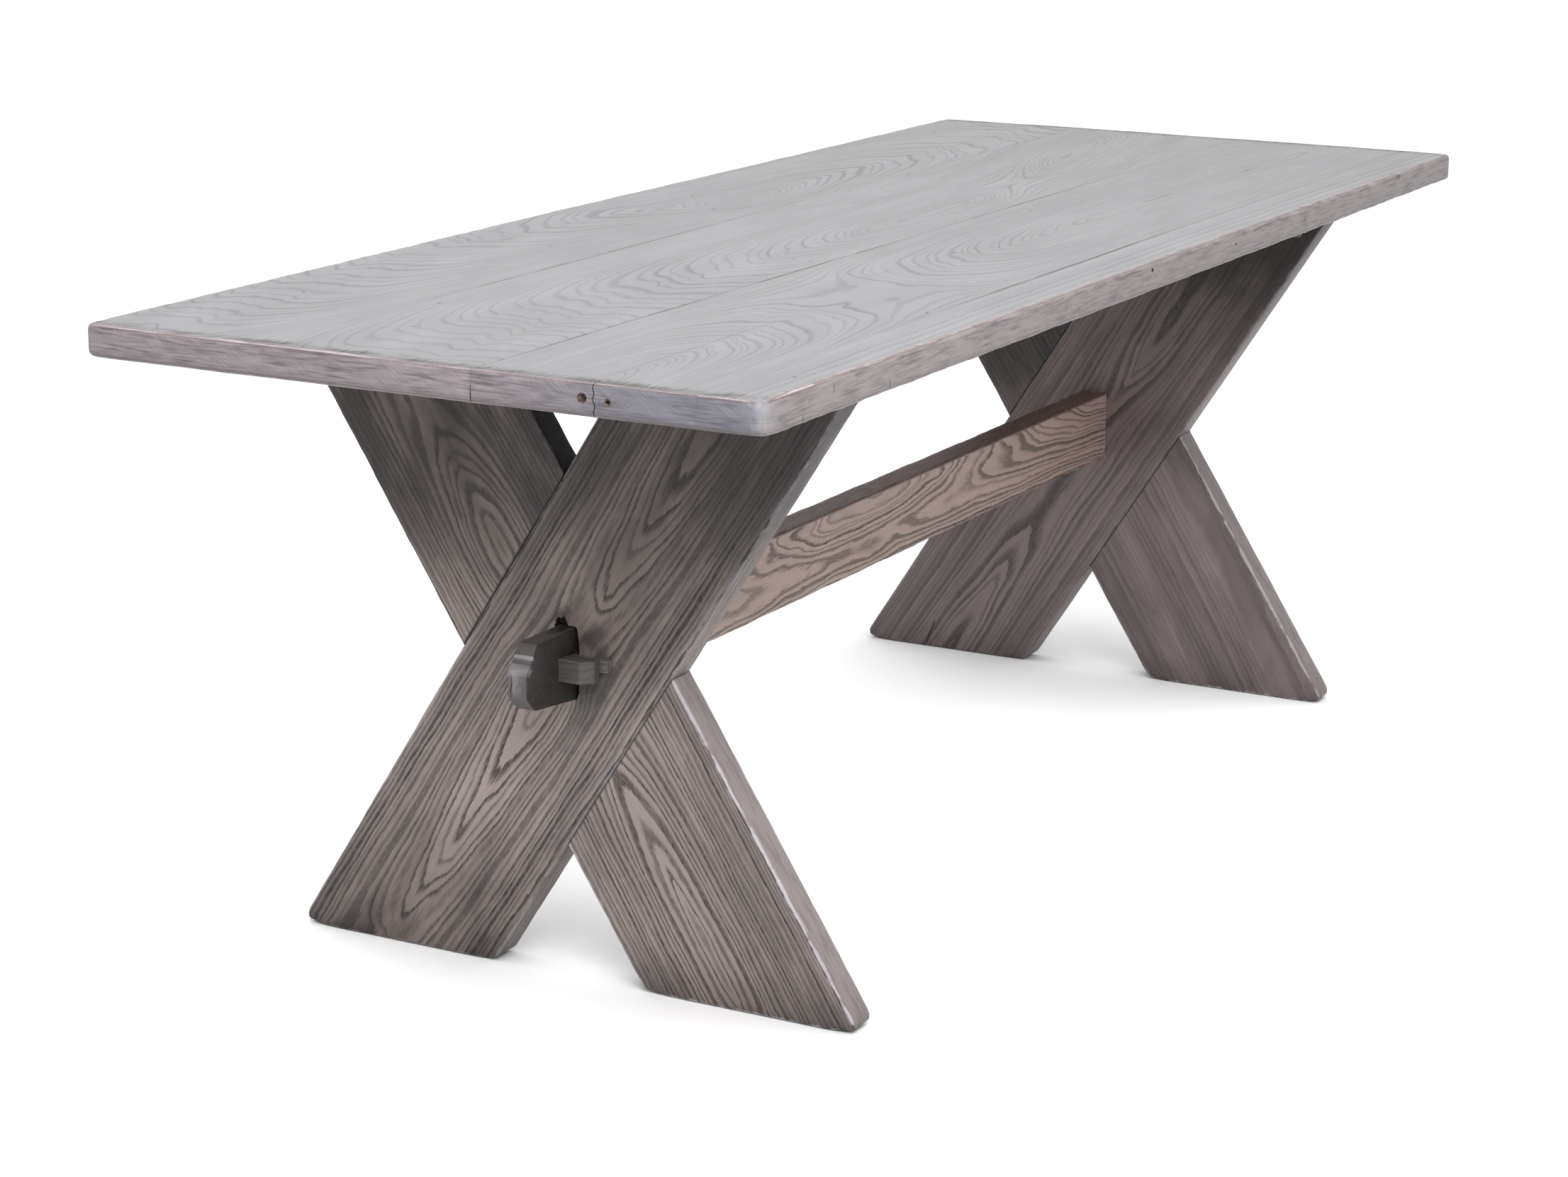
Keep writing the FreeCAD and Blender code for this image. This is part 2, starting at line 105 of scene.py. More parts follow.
def board_points(size, span, arrises, end_arris=3.0, end_corners=(0.0, 0.0), slant=0.0, wander=0.35,
                 seed=1.0, chips=(), hollow=None, end_wave=(0.0, 1.0)):
    """Rings of points round a board whose arrises are worn unevenly."""
    width, thickness = size
    along = stations(span[0], span[1], 7.0, {1.3 * end_arris, max(end_corners)} - {0.0})
    ring_count = len(along)
    to_end = np.minimum(along - span[0], span[1] - along)
    side_in = [inset(to_end, radius) if radius else np.zeros(ring_count) for radius in end_corners]

    def face_in(y):
        radius = end_arris * (1.0 + 0.25 * float(sway(y + end_wave[0], end_wave[1], 150.0)))
        for corner, gap in zip(end_corners, (width / 2.0 + y, width / 2.0 - y)):
            radius += 0.45 * corner * math.exp(-((gap / 24.0) ** 2))
        return inset(to_end, min(radius, 0.46 * thickness))

    radii = []
    for index, radius in enumerate(arrises):
        worn = 1.0 + wander * sway(along, seed + index, 140.0)
        worn += 0.5 * wander * sway(along, 2.0 * seed + index, 37.0)
        local = radius * np.clip(worn, 0.35, 2.2)
        for place, corner, depth, half in chips:
            if corner == index:
                local = local + depth * np.exp(-(((along - place) / half) ** 4))
        radii.append(local)
    room = max(2.4 * max(arrises) + 2.0, max(end_corners) + 3.0)
    wide = np.linspace(-1.0, 1.0, max(3, int(width / 15.0))) * (width / 2.0 - room)
    room = min(max(room, 1.3 * end_arris + 0.45 * max(end_corners) + 1.0), 0.42 * thickness)
    thick = np.linspace(-1.0, 1.0, max(2, int(thickness / 12.0))) * (thickness / 2.0 - room)
    rings = []
    for index, (side_y, side_z) in enumerate(CORNERS):
        side = side_in[1] if side_y > 0 else side_in[0]
        ends_in = face_in(side_y * width / 2.0)
        radius = np.maximum(radii[index] - np.minimum(side, ends_in), 0.15 * radii[index])
        centre_y = side_y * (width / 2.0 - side - radius)
        centre_z = side_z * (thickness / 2.0 - ends_in - radius)
        for turn in ROUND_TURNS[::side_y * side_z]:
            rings.append((centre_y + side_y * radius * math.cos(turn),
                          centre_z + side_z * radius * math.sin(turn)))
        steps = (wide, thick)[index % 2]
        for step in steps[::-1] if index < 2 else steps:
            level = np.full(ring_count, step)
            if index % 2:
                rings.append((side_y * (width / 2.0 - side), level))
            else:
                rings.append((level, side_z * (thickness / 2.0 - face_in(step))))
    points = np.stack([np.column_stack((along + slant * y, y, z)) for y, z in rings], axis=1)
    if hollow is not None:
        share = np.clip(points[:, :, 2] / (thickness / 2.0), 0.0, 1.0)
        points[:, :, 2] -= share * hollow(points[:, :, 0], points[:, :, 1])
    return points


def stand_up(name, data):
    """Puts a mesh, a lamp or a camera into the scene."""
    made = bpy.data.objects.new(name, data)
    bpy.context.scene.collection.objects.link(made)
    return made


def piece_from(name, vertices, faces):
    """A closed piece from points in millimetres, with every face turned outwards."""
    mesh = bpy.data.meshes.new(name)
    mesh.from_pydata([Vector(point) * MM for point in vertices], [], faces)
    mesh.validate()
    shape = bmesh.new()
    shape.from_mesh(mesh)
    bmesh.ops.recalc_face_normals(shape, faces=shape.faces)
    shape.to_mesh(mesh)
    shape.free()
    return stand_up(name, mesh)


def board(name, size, span, arrises, **wear):
    """A sawn board, along its own X, with rounded and worn arrises and closed ends."""
    points = board_points(size, span, arrises, **wear)
    rings, around = points.shape[:2]
    faces = []
    for ring in range(rings - 1):
        for step in range(around):
            here = ring * around + step
            beside = ring * around + (step + 1) % around
            faces.append((here, here + around, beside + around, beside))
    faces.append(tuple(range(around)))
    faces.append(tuple((rings - 1) * around + step for step in reversed(range(around))))
    return piece_from(name, points.reshape(-1, 3), faces)


def prism(name, outline, low, high, axes="xyz"):
    """A closed block between two levels: axes names the outline's two axes and the levels' one."""
    count = len(outline)
    order = [axes.index(axis) for axis in "xyz"]
    vertices = [[(a, b, level)[at] for at in order] for level in (low, high) for a, b in outline]
    sides = [(i, (i + 1) % count, count + (i + 1) % count, count + i) for i in range(count)]
    caps = [tuple(reversed(range(count))), tuple(range(count, 2 * count))]
    return piece_from(name, vertices, sides + caps)


def settle(piece):
    """Makes a piece's modifiers part of its mesh."""
    bpy.context.view_layer.update()
    graph = bpy.context.evaluated_depsgraph_get()
    mesh = bpy.data.meshes.new_from_object(piece.evaluated_get(graph))
    piece.modifiers.clear()
    piece.data = mesh
    mesh.name = piece.name


def combine(piece, operation, tools):
    """Cuts tools from a piece, or adds them to it, and clears them away."""
    for tool in tools:
        step = piece.modifiers.new(operation.lower(), "BOOLEAN")
        step.operation = operation
        step.solver = "EXACT"
        step.material_mode = "TRANSFER" if tool.data.materials else "INDEX"
        step.object = tool
    settle(piece)
    for tool in tools:
        bpy.data.objects.remove(tool)


def cut(piece, *tools):
    """Cuts tools away from a piece; a tool's own finish stays on the walls that it leaves."""
    combine(piece, "DIFFERENCE", tools)


def ease(piece, width, segments=3, angle=30.0):
    """Rounds the arrises of a piece."""
    step = piece.modifiers.new("ease", "BEVEL")
    step.width = width * MM
    step.segments = segments
    step.limit_method = "ANGLE"
    step.angle_limit = math.radians(angle)
    settle(piece)


def smooth(piece, angle=34.0):
    """Shades a piece smooth, but for its sharp corners."""
    piece.data.shade_smooth()
    piece.data.set_sharp_from_angle(angle=math.radians(angle))


def place(piece, stand):
    """Puts a piece in the table's frame: stand is its origin and the way its X, Y and Z run."""
    origin, axes = stand
    turn = Matrix(axes).transposed().to_4x4()
    piece.data.transform(Matrix.Translation(Vector(origin) * MM) @ turn)


def peg(name, centre, radius, depth, direction, sides=20, flare=0.0):
    """A round cutting tool, wider at its mouth where it has a flare."""
    shape = bmesh.new()
    bmesh.ops.create_cone(shape, cap_ends=True, segments=sides, radius1=radius * MM,
                          radius2=(radius + flare) * MM, depth=depth * MM)
    mesh = bpy.data.meshes.new(name)
    shape.to_mesh(mesh)
    shape.free()
    tool = stand_up(name, mesh)
    turn = Vector((0.0, 0.0, 1.0)).rotation_difference(Vector(direction)).to_matrix().to_4x4()
    tool.matrix_world = Matrix.Translation(Vector(centre) * MM) @ turn
    bpy.context.view_layer.update()
    return tool


def crack(name, path, width, low, high, axes="yzx"):
    """A thin, jogged cutting tool along a path, narrow at both ends and open between two levels."""
    path = [np.array(point, float) for point in path]
    last = len(path) - 1
    left, right = [], []
    for index, point in enumerate(path):
        run = path[min(index + 1, last)] - path[max(index - 1, 0)]
        half = width / 2.0 * (0.35 if index in (0, last) else 1.0) / np.linalg.norm(run)
        left.append(tuple(point + half * np.array((-run[1], run[0]))))
        right.append(tuple(point - half * np.array((-run[1], run[0]))))
    return prism(name, left + right[::-1], low, high, axes)


def hollow(tool, finish=None):
    """Marks a tool whose cut shows timber painted near-black inside as shade, or another finish."""
    tool.data.materials.append(finish or HOLLOW_SHADE)
    return tool


# ---------------------------------------------------------------- shader desk
def tone(red, green, blue):
    """A colour as it is seen on a screen, 0 to 255, ready for a shader."""
    def linear(value):
        value /= 255.0
        return value / 12.92 if value <= 0.04045 else ((value + 0.055) / 1.055) ** 2.4
    return (linear(red), linear(green), linear(blue), 1.0)


def worked(operation, swapped=False):
    """What a sign does to two readings: one node that works it out."""
    def work(reading, other):
        pair = (other, reading) if swapped else (reading, other)
        return reading.desk.math(operation, *pair)
    return work


class Reading:
    """A value that changes over the surface; sums with it add the nodes that work them out."""

    def __init__(self, desk, socket):
        self.desk = desk
        self.socket = socket

    def __abs__(self):
        return self.desk.math("ABSOLUTE", self)

    __add__ = __radd__ = worked("ADD")
    __mul__ = __rmul__ = worked("MULTIPLY")
    __sub__ = worked("SUBTRACT")
    __rsub__ = worked("SUBTRACT", swapped=True)
    __truediv__ = worked("DIVIDE")
    __rtruediv__ = worked("DIVIDE", swapped=True)
    __pow__ = worked("POWER")


def spaced(inputs):
    """Socket names have spaces where Python's names have underscores."""
    return {key.replace("_", " "): value for key, value in inputs.items()}


class Desk:
    """A node tree with short ways to add nodes and join them up."""

    def __init__(self, tree):
        self.tree = tree

    def add(self, kind, inputs=(), **settings):
        """A node with its settings, its inputs fed in order or by name."""
        made = self.tree.nodes.new(kind)
        for key, value in settings.items():
            setattr(made, key, value)
        for key, value in inputs.items() if isinstance(inputs, dict) else enumerate(inputs):
            self.feed(made.inputs[key], value)
        return made

    def feed(self, socket, value):
        if isinstance(value, Reading):
            self.tree.links.new(value.socket, socket)
        else:
            socket.default_value = value

    def read(self, kind, inputs=(), output=0, **settings):
        """A new node's output, as a reading."""
        return Reading(self, self.add(kind, inputs, **settings).outputs[output])

    def math(self, operation, *values, clamp=False):
        return self.read("ShaderNodeMath", values, operation=operation, use_clamp=clamp)

    def vector(self, operation, *values):
        output = "Value" if operation in ("LENGTH", "DOT_PRODUCT") else "Vector"
        return self.read("ShaderNodeVectorMath", values, output, operation=operation)

    def scale(self, vector, by):
        return self.read("ShaderNodeVectorMath", {"Vector": vector, "Scale": by}, operation="SCALE")

    def turn(self, vector, angle):
        return self.read("ShaderNodeVectorRotate", {"Vector": vector, "Angle": angle},
                         rotation_type="Z_AXIS")

    def split(self, vector):
        made = self.add("ShaderNodeSeparateXYZ", [vector])
        return [Reading(self, made.outputs[axis]) for axis in range(3)]

    def join(self, *values):
        return self.read("ShaderNodeCombineXYZ", values)

    def noise(self, place, detail=2.0, roughness=0.5, output="Fac"):
        inputs = {"Vector": place, "Scale": 1.0, "Detail": detail, "Roughness": roughness}
        return self.read("ShaderNodeTexNoise", inputs, output)

    def fit(self, value, low, high, to_low=0.0, to_high=1.0, soft=True):
        return self.read("ShaderNodeMapRange", (value, low, high, to_low, to_high),
                         interpolation_type="SMOOTHSTEP" if soft else "LINEAR")

    def mix(self, share, first, second, way="MIX"):
        return self.read("ShaderNodeMix", {0: share, 6: first, 7: second}, 2, data_type="RGBA",
                         blend_type=way)

    def curve(self, value, points):
        """A smooth curve through a few points; the ends carry on level."""
        first, last = points[0][0], points[-1][0]
        levels = [level for _, level in points]
        low = min(levels)
        reach = max(max(levels) - low, 0.001)
        made = self.add("ShaderNodeFloatCurve", {"Value": self.fit(value, first, last, soft=False)})
        line = made.mapping.curves[0]
        while len(line.points) < len(points):
            line.points.new(0.5, 0.5)
        for knot, (at, level) in zip(line.points, points):
            knot.location = ((at - first) / (last - first), (level - low) / reach)
        made.mapping.update()
        return Reading(self, made.outputs[0]) * reach + low

    def group(self, group, **inputs):
        """A shared effect with its own values here; gives its readings by name."""
        made = self.add("ShaderNodeGroup", spaced(inputs), node_tree=group)
        return {output.name: Reading(self, output) for output in made.outputs}

    def bump(self, shader, height, strength, distance):
        inputs = {"Strength": strength, "Distance": distance, "Height": height}
        self.feed(shader["Normal"], self.read("ShaderNodeBump", inputs))


def new_group(name, inputs, outputs):
    """A shader group whose named inputs are vectors or numbers and whose outputs are numbers."""
    tree = bpy.data.node_groups.new(name, "ShaderNodeTree")
    for socket, value in inputs.items():
        kind = "NodeSocketVector" if isinstance(value, tuple) else "NodeSocketFloat"
        made = tree.interface.new_socket(name=socket, in_out="INPUT", socket_type=kind)
        made.default_value = value
    for socket in outputs:
        tree.interface.new_socket(name=socket, in_out="OUTPUT", socket_type="NodeSocketFloat")
    desk = Desk(tree)
    entry = desk.add("NodeGroupInput")
    return desk, {socket.name: Reading(desk, socket) for socket in entry.outputs}


def give(desk, **outputs):
    """Feeds a group's outputs and hands the group over."""
    desk.add("NodeGroupOutput", spaced(outputs))
    return desk.tree


def new_finish(name):
    """A material, its desk, its shader's sockets and the place on the piece in millimetres."""
    material = bpy.data.materials.new(name)
    material.use_nodes = True
    desk = Desk(material.node_tree)
    place_mm = desk.scale(desk.read("ShaderNodeTexCoord", output="Object"), 1.0 / MM)
    return material, desk, material.node_tree.nodes["Principled BSDF"].inputs, place_mm


# ---------------------------------------------------------------- shared effects
BAND_SHAPE = [(0.0, 0.0), (0.05, 1.0), (0.34, 0.95), (0.52, 0.5), (0.68, 0.08), (1.0, 0.0)]
RINGS_TIGHTEN_OVER = 220.0


def make_fibre():
    """Noise drawn out along the board, its cell given in millimetres."""
    desk, given = new_group("fibre", {"Place": (0, 0, 0), "Cell": (15, 1, 1), "Shift": 0.0, "Detail": 2.0},
                            ["Value"])
    cells = desk.vector("DIVIDE", given["Place"], given["Cell"])
    moved = desk.vector("ADD", cells, desk.join(given["Shift"], given["Shift"], given["Shift"]))
    return give(desk, Value=desk.noise(moved, given["Detail"]))


def streaks(desk, place_mm, cell, detail, shift):
    """Fibre noise on a piece or in another effect."""
    return desk.group(FIBRE, Place=place_mm, Cell=cell, Detail=detail, Shift=shift)["Value"]


def make_figure():
    """Growth rings round a heart line, cut by the faces of the board, with open pores."""
    desk, given = new_group(
        "timber_figure",
        {"Place": (0, 0, 0), "Heart Across": 0.0, "Heart Depth": 30.0, "Level Depth": 32.0,
         "Heart Reach": 60.0, "Point": 1.5, "Inner Ring": 10.0, "Edge Ring": 4.8, "Wander": 4.0,
         "Comb": 0.35, "Dashes": -0.45, "Late Wood": 0.4, "Spread": 0.0, "Shift": 0.0},
        ["Band", "Ring Tone", "Pores", "Fibre", "Heartwood"])
    place_mm, shift, point = given["Place"], given["Shift"], given["Point"]
    _, across, depth = desk.split(place_mm)
    seed = desk.join(shift, shift, shift)

    def wander_at(cell, share):
        cells = desk.vector("ADD", desk.vector("DIVIDE", place_mm, cell), seed)
        centred = desk.vector("SUBTRACT", desk.noise(cells, 1.0, output="Color"), (0.5, 0.5, 0.5))
        return desk.scale(centred, given["Wander"] * share)

    swayed = desk.vector("ADD", wander_at((95.0, 26.0, 26.0), 3.0), wander_at((30.0, 8.0, 8.0), 0.45))
    _, sway_across, sway_depth = desk.split(swayed)
    from_heart = across - given["Heart Across"]
    fade = from_heart / given["Heart Reach"]
    sunk = given["Heart Depth"] - given["Level Depth"]
    wider = abs(sunk) / 60.0 - 0.6 + sunk * sunk / 6400.0
    wider = desk.math("MAXIMUM", wider, -0.3) * given["Spread"] + 1.0
    near_heart = desk.math("EXPONENT", fade * fade / wider * -1.0)
    from_heart = from_heart + sway_across * 0.6
    below = (sunk + sway_depth) * near_heart + (given["Level Depth"] - depth)
    radius = (abs(from_heart) ** point + abs(below) ** point) ** (1.0 / point)
    inner = 1.0 / given["Inner Ring"]
    tighten = (1.0 / given["Edge Ring"] - inner) / RINGS_TIGHTEN_OVER
    rings = radius * (radius * tighten + inner)
    rings = rings + (desk.noise(desk.join(rings * 0.4, shift)) - 0.5) * 3.0
    comb = streaks(desk, place_mm, (20.0, 0.9, 0.9), 2.0, shift)
    rings = rings + (comb - 0.5) * given["Comb"] * 2.0
    late_wood = given["Late Wood"] * (near_heart * -0.35 + 1.0)
    share = desk.math("DIVIDE", desk.math("FRACT", rings), late_wood * 2.0 + 0.2, clamp=True)
    late = desk.curve(share, BAND_SHAPE)
    ring_tone = desk.read("ShaderNodeTexWhiteNoise", {"W": desk.math("FLOOR", rings) + shift}, "Value",
                          noise_dimensions="1D")
    dashes = desk.fit(streaks(desk, place_mm, (9.0, 0.7, 0.7), 1.0, shift + 5.0), 0.42, 0.6)
    band = late * (dashes * given["Dashes"] + 1.0)
    pores = desk.fit(streaks(desk, place_mm, (7.0, 0.45, 0.45), 1.0, shift + 9.0), 0.6, 0.72)
    return give(desk, Band=desk.math("MULTIPLY", band, ring_tone * 0.55 + 0.5, clamp=True),
                Ring_Tone=ring_tone, Pores=pores * (late * 0.75 + 0.25), Heartwood=near_heart,
                Fibre=streaks(desk, place_mm, (60.0, 1.3, 1.3), 4.0, shift + 2.0))


def make_worn_arris():
    """A mask that is strong along the arrises of a block, broken up by noise."""
    desk, given = new_group(
        "worn_arris", {"Place": (0, 0, 0), "Half Size": (100, 100, 20), "Reach": 3.0, "Uneven": 0.75,
                       "Cell": (26, 9, 9), "Shift": 0.0}, ["Wear", "Rim"])
    gap = desk.vector("SUBTRACT", given["Half Size"], desk.vector("ABSOLUTE", given["Place"]))
    first, second, third = desk.split(gap)
    low = desk.math("MINIMUM", first, second)
    high = desk.math("MAXIMUM", first, second)
    middle = desk.math("MAXIMUM", low, desk.math("MINIMUM", high, third))
    cells = desk.vector("ADD", desk.vector("DIVIDE", given["Place"], given["Cell"]),
                        desk.join(given["Shift"]))
    uneven = desk.fit(desk.noise(cells, 4.0, 0.6), 0.3, 0.7, -1.0, 0.7)
    reach = given["Reach"] * (uneven * given["Uneven"] + 1.0)
    outside = desk.fit(middle, reach * 1.45, reach * 1.1)
    inside = desk.fit(middle, reach * 0.6, reach * 0.95)
    return give(desk, Wear=desk.fit(middle, reach, reach * 0.3), Rim=outside * inside)


def make_weather():
    """Slow stains, fine dark specks and pale rubbed patches over a face."""
    desk, given = new_group("weather", {"Place": (0, 0, 0), "Shift": 0.0}, ["Stain", "Specks", "Rubbed"])
    moved = desk.vector("ADD", given["Place"], desk.join(given["Shift"] * 131.0))

    def patches(cell, detail, low, high, roughness=0.5):
        cloud = desk.noise(desk.vector("DIVIDE", moved, cell), detail, roughness)
        return desk.fit(cloud, low, high)

    spots = patches((6.0, 2.6, 2.6), 2.0, 0.7, 0.76)
    return give(desk, Stain=patches((180.0, 60.0, 60.0), 4.0, 0.32, 0.68, 0.55),
                Specks=spots * patches((90.0, 70.0, 70.0), 1.0, 0.45, 0.7),
                Rubbed=patches((70.0, 16.0, 16.0), 3.0, 0.5, 0.75))


def make_mark():
    """An oval mark with a ragged rim, such as a nail hole, a burn or a knot."""
    desk, given = new_group(
        "mark", {"Place": (0, 0, 0), "Centre": (0, 0, 0), "Size": (5, 5, 5), "Ragged": 0.3, "Turn": 0.0,
                 "Soft": 0.3}, ["Mask"])
    turned = desk.turn(desk.vector("SUBTRACT", given["Place"], given["Centre"]), given["Turn"])
    far = desk.vector("LENGTH", desk.vector("DIVIDE", turned, given["Size"]))
    cell = desk.vector("MULTIPLY_ADD", given["Size"], (0.45, 0.45, 0.45), (1.6, 1.0, 1.0))
    rim = desk.noise(desk.vector("DIVIDE", given["Place"], cell), 3.0)
    far = far + (rim - 0.5) * given["Ragged"]
    return give(desk, Mask=desk.fit(far, 1.05, 1.05 - given["Soft"]))


def make_seam():
    """A dark line where two pieces meet, open in some places and tight in others."""
    desk, given = new_group(
        "seam", {"Place": (0, 0, 0), "Across": (0, 1, 0), "Offset": 0.0, "Width": 1.0, "Open": 0.5,
                 "Shift": 0.0}, ["Mask"])
    from_line = desk.vector("DOT_PRODUCT", given["Place"], given["Across"]) - given["Offset"]
    cells = desk.vector("ADD", desk.vector("DIVIDE", given["Place"], (60.0, 30.0, 30.0)),
                        desk.join(given["Shift"], given["Shift"]))
    closed = (1.0 - given["Open"]) * 0.5
    share = desk.fit(desk.noise(cells, 3.0), closed + 0.2, closed + 0.38)
    reach = given["Width"] * (share * 0.8 + 0.35)
    near = desk.fit(abs(from_line), reach, reach * 0.3)
    return give(desk, Mask=near * (share * 0.8 + 0.2))


FIBRE = make_fibre()
FIGURE = make_figure()
WORN_ARRIS = make_worn_arris()
WEATHER = make_weather()
MARK = make_mark()
SEAM = make_seam()


def make_hollow_finish(name, dark, light, cell):
    """Timber deep in mortises, holes and cracks: the dark finish is painted shade, the rusty one rust."""
    material, desk, shader, place_mm = new_finish(name)
    cloud = desk.noise(desk.vector("DIVIDE", place_mm, (cell, cell, cell)), 3.0)
    desk.feed(shader["Base Color"], desk.mix(desk.fit(cloud, 0.4, 0.65), dark, light))
    shader["Roughness"].default_value = 0.9
    return material


# Near-black painted shade inside mortises, cracks and nail holes.
HOLLOW_SHADE = make_hollow_finish("dark_hollow", tone(30, 27, 26), tone(58, 50, 46), 4.0)
RUSTY_HOLLOW = make_hollow_finish("rusty_hollow", tone(84, 66, 60), tone(150, 132, 126), 2.4)


# ---------------------------------------------------------------- timber
RIM = tone(118, 98, 94)
# Multiplied into the legs by the soil curves: grime near the feet, and painted shade under the top towards
# the heads.
SOIL_AND_SHADE_TONE = tone(84, 76, 73)
SEAM_DARK = tone(34, 31, 30)
FRINGE = tone(56, 47, 44)
SHADED_EDGE = tone(40, 37, 36)
SAW_SLOPE = math.radians(-34.0)
SAWN_SHARE = 0.93
NICK_DEPTH = 1.4
GRAIN_RELIEF = 0.4
GRAIN_DEPTH = 0.0006


def spot(at, size, colour, strength=0.8, ragged=0.6, dip=1.0, soft=0.3, turn=0.0):
    """A mark: its centre and half sizes along the piece, its colour and how it shows."""
    shape = {"Centre": at, "Size": size, "Ragged": ragged, "Soft": soft, "Turn": math.radians(turn)}
    return shape, colour, strength, dip


def sawn_face(desk, face, distance, places, half_depth, dark, specks):
    """The plain, streaked finish of an end or an edge: its share, colour, fringe and nicks."""
    along, table_across, depth, flat_place, place_mm = places
    streak = streaks(desk, flat_place, (34.0, 2.6, 1.0), 4.0, 3.0)
    broad = streaks(desk, flat_place, (60.0, 14.0, 1.0), 3.0, 8.0)
    frayed = (broad - 0.5) * face.get("frayed", 0.0)
    at_face = desk.fit(distance + frayed, face["from"] - 3.0, face["from"])
    dull = desk.fit(streak, 0.34, 0.68) * desk.fit(broad, 0.36, 0.62, 0.2, 0.9)
    pale_here, dull_here = face["pale"], face["dull"]
    if "beyond" in face:
        beyond = desk.fit(table_across, *face["beyond"])
        pale_here = desk.mix(beyond, pale_here, face["far_pale"])
        dull_here = desk.mix(beyond, dull_here, face["far_dull"])
    plain = desk.mix(dull, pale_here, dull_here)
    plain = desk.mix(specks * 0.5, plain, dark)
    nicks = fringe = None
    if "nicks" in face:
        knocks = desk.noise(desk.vector("DIVIDE", flat_place, (11.0, 2.4, 1.0)), 4.0, 0.7)
        by_rim = desk.fit(abs(depth), 0.3 * half_depth, 0.95 * half_depth, 0.0, 0.09)
        knocks = desk.fit(knocks, 0.66 - by_rim, 0.74 - by_rim)
        knocks = knocks * (desk.fit(broad, 0.36, 0.6, 0.25, 1.0) * face["nicks"])
        nicks = knocks * at_face
        bruised = desk.group(SEAM, Place=flat_place, Across=(0, 1, 0), Width=2.4, Open=0.45, Shift=9.0,
                             Offset=frayed * 0.6 + face["bruise"])["Mask"]
        plain = desk.mix(knocks, plain, dark)
        plain = desk.mix(bruised * 0.6, plain, dark)
    if "saw" in face:
        saw = streaks(desk, desk.turn(flat_place, SAW_SLOPE), (40.0, 0.9, 1.0), 1.0, 6.0)
        saw = desk.fit(saw, 0.46, 0.6) * desk.fit(broad, 0.62, 0.42, 0.15, 1.0)
        plain = desk.mix(saw * face["saw"], plain, dark)
        teeth = (streaks(desk, place_mm, (60.0, 1.4, 40.0), 3.0, 5.0) - 0.5) * 60.0
        fringe = desk.fit(distance + teeth, face["from"] - 22.0, face["from"] - 6.0)
        fringe = fringe * desk.fit(distance, face["from"], face["from"] - 4.0)
        fringe = fringe * desk.fit(depth, 0.5 * half_depth, 0.75 * half_depth)
        fringe = fringe * desk.fit(broad, 0.4, 0.56, 0.35, face["fringe"])
    if "shade" in face:
        plain = desk.mix(desk.curve(along, face["shade"]), plain, SHADED_EDGE)
    low = desk.fit(depth, -0.2 * half_depth, -half_depth, 0.0, face.get("low", 0.0))
    return at_face * SAWN_SHARE, desk.mix(low, plain, dark), fringe, nicks


